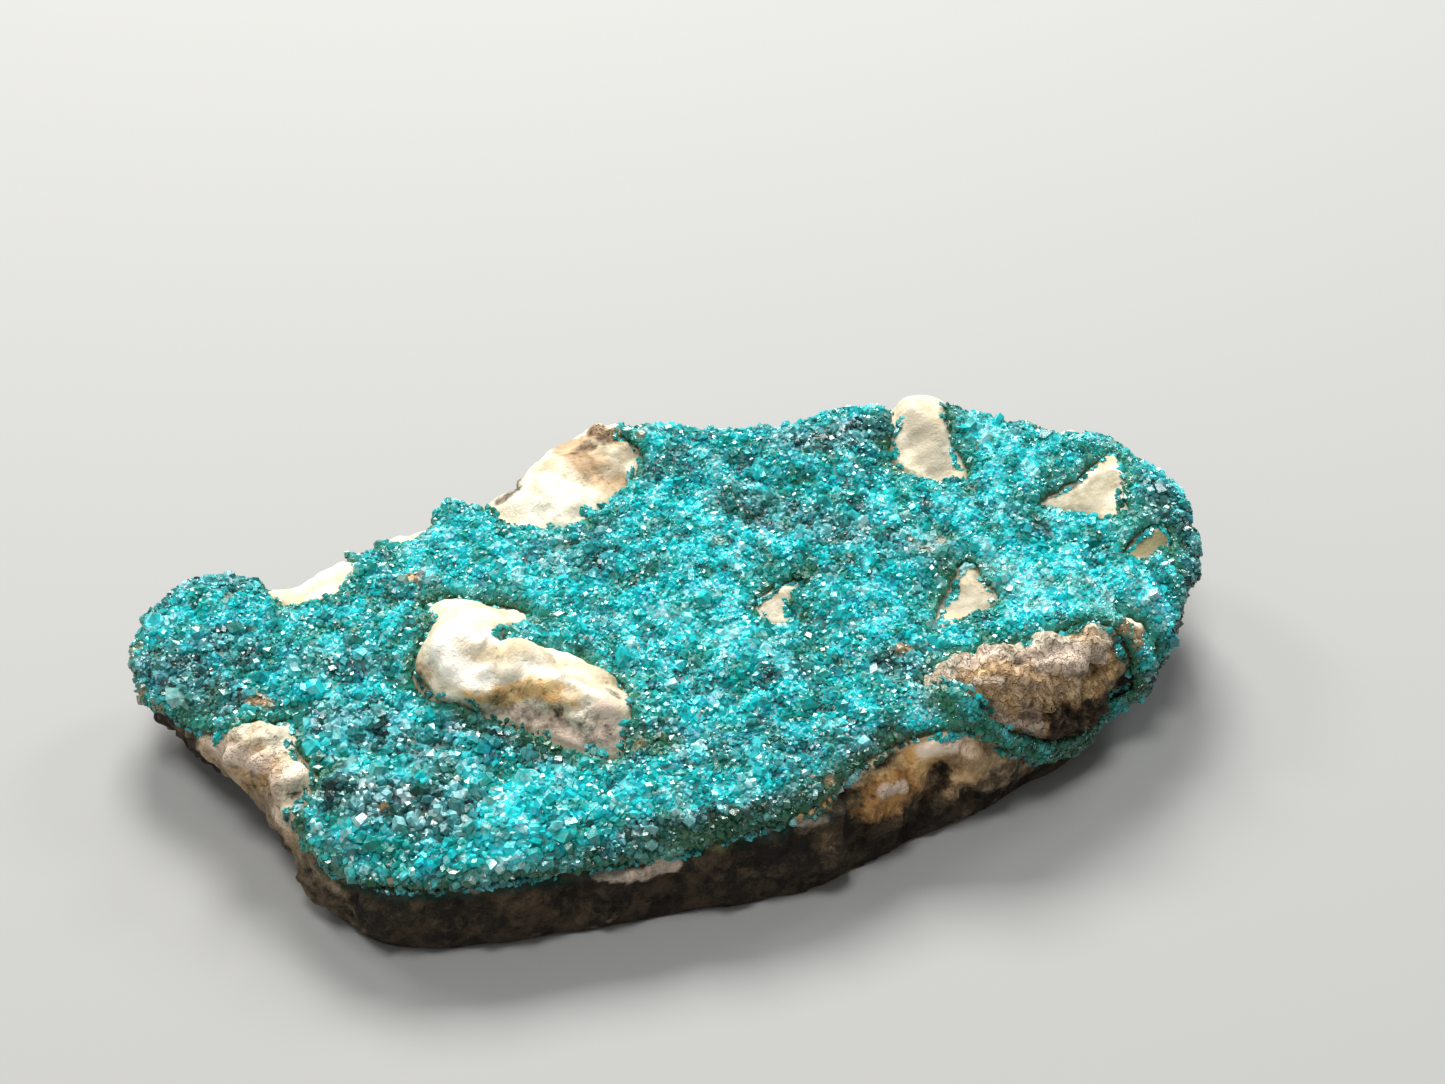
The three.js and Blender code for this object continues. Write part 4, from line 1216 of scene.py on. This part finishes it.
crystal_finish = dioptase("dioptase_crystals", CRYSTAL_ROUGHNESS, CRYSTAL_TRANSMISSION)
absorption = crystal_finish.nodes.new("ShaderNodeVolumeAbsorption")
absorption.inputs["Color"].default_value = (*linear(70, 225, 220), 1)
absorption.inputs["Density"].default_value = ABSORPTION_PER_METRE
crystal_finish.links.new(absorption.outputs["Volume"], crystal_finish.output.inputs["Volume"])
bed_finish = dioptase("dioptase_bed", BED_ROUGHNESS, 0.0)
print("crystal finish has", len(crystal_finish.nodes), "nodes")

# %% [markdown]
# ## Join the crystals into pieces
#
# One mesh with every crystal would be heavy to handle, so they are joined in bands along the stone,
# each well under two hundred thousand triangles.

# %% Crystal pieces
MOST_TRIANGLES = 190000
CRYSTAL_NUMBERS = {"tint": tint, "smoky": smoky, "rusty": rusty, "mossy": mossy}


def joined_crystals(name, form, chosen):
    """One mesh of all the chosen crystals, with their numbers stored."""
    faces = form[3]
    count = len(chosen)
    corner_count = len(form[0])
    corners = crystal_corners(form, sites[chosen], site_normals[chosen], widths[chosen], heights[chosen])
    mesh = bpy.data.meshes.new(name)
    mesh.vertices.add(count * corner_count)
    mesh.vertices.foreach_set("co", (corners * MM).astype(np.float32).ravel())
    loops = (np.arange(count)[:, None] * corner_count + np.concatenate(faces)).ravel()
    mesh.loops.add(len(loops))
    mesh.loops.foreach_set("vertex_index", loops.astype(np.int32))
    face_sizes = np.tile([len(face) for face in faces], count)
    mesh.polygons.add(len(face_sizes))
    starts = np.concatenate([[0], np.cumsum(face_sizes)[:-1]])
    mesh.polygons.foreach_set("loop_start", starts.astype(np.int32))
    mesh.update(calc_edges=True)
    mesh.validate()
    for label, values in CRYSTAL_NUMBERS.items():
        keep_numbers(mesh, label, np.repeat(values[chosen], corner_count))
    mesh.polygons.foreach_set("use_smooth", np.zeros(len(mesh.polygons), bool))
    mesh.materials.append(crystal_finish.material)
    piece = bpy.data.objects.new(name, mesh)
    show(piece)
    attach(piece, "root")
    return piece


along = np.argsort(sites[:, 0])
prisms = along[widths[along] > PRISMS_FROM]
smalls = along[widths[along] <= PRISMS_FROM]
for label, form, chosen in (("prisms", PRISM_FORM, prisms), ("small_crystals", SMALL_FORM, smalls)):
    each = triangle_count(form)
    bands = math.ceil(len(chosen) * each / MOST_TRIANGLES)
    for number, band in enumerate(np.array_split(chosen, bands), 1):
        piece = joined_crystals(f"{label}_{number}", form, band)
        print(piece.name, len(band), "crystals,", len(band) * each, "triangles")

# %% Finish the bed
# The bed is painted darker than the crystals, as shade in the gaps between them.
BED_PAINTED_SHADE = 0.3

bed_places, bed_normals = vertex_places(bed_mesh)
bed_numbers = {
    "tint": drift(bed_places, bed_normals) - BED_PAINTED_SHADE,
    "smoky": 3 * nearness(bed_places, DARK_DRIFTS, bed_tree),
    "mossy": 1 - ramp(distance_to(smooth_stone_tree, bed_places), 0.25, 0.75),
    "rusty": nearness(bed_places, RUSTY_SPOTS, bed_tree),
}
for label, values in bed_numbers.items():
    keep_numbers(bed_mesh, label, values)
bed_mesh.materials.append(bed_finish.material)
print("bed numbers stored:", sorted(bed_numbers))

# %% [markdown]
# ## Update the scene
#
# The view layer is brought up to date.

# %% Update
bpy.context.view_layer.update()
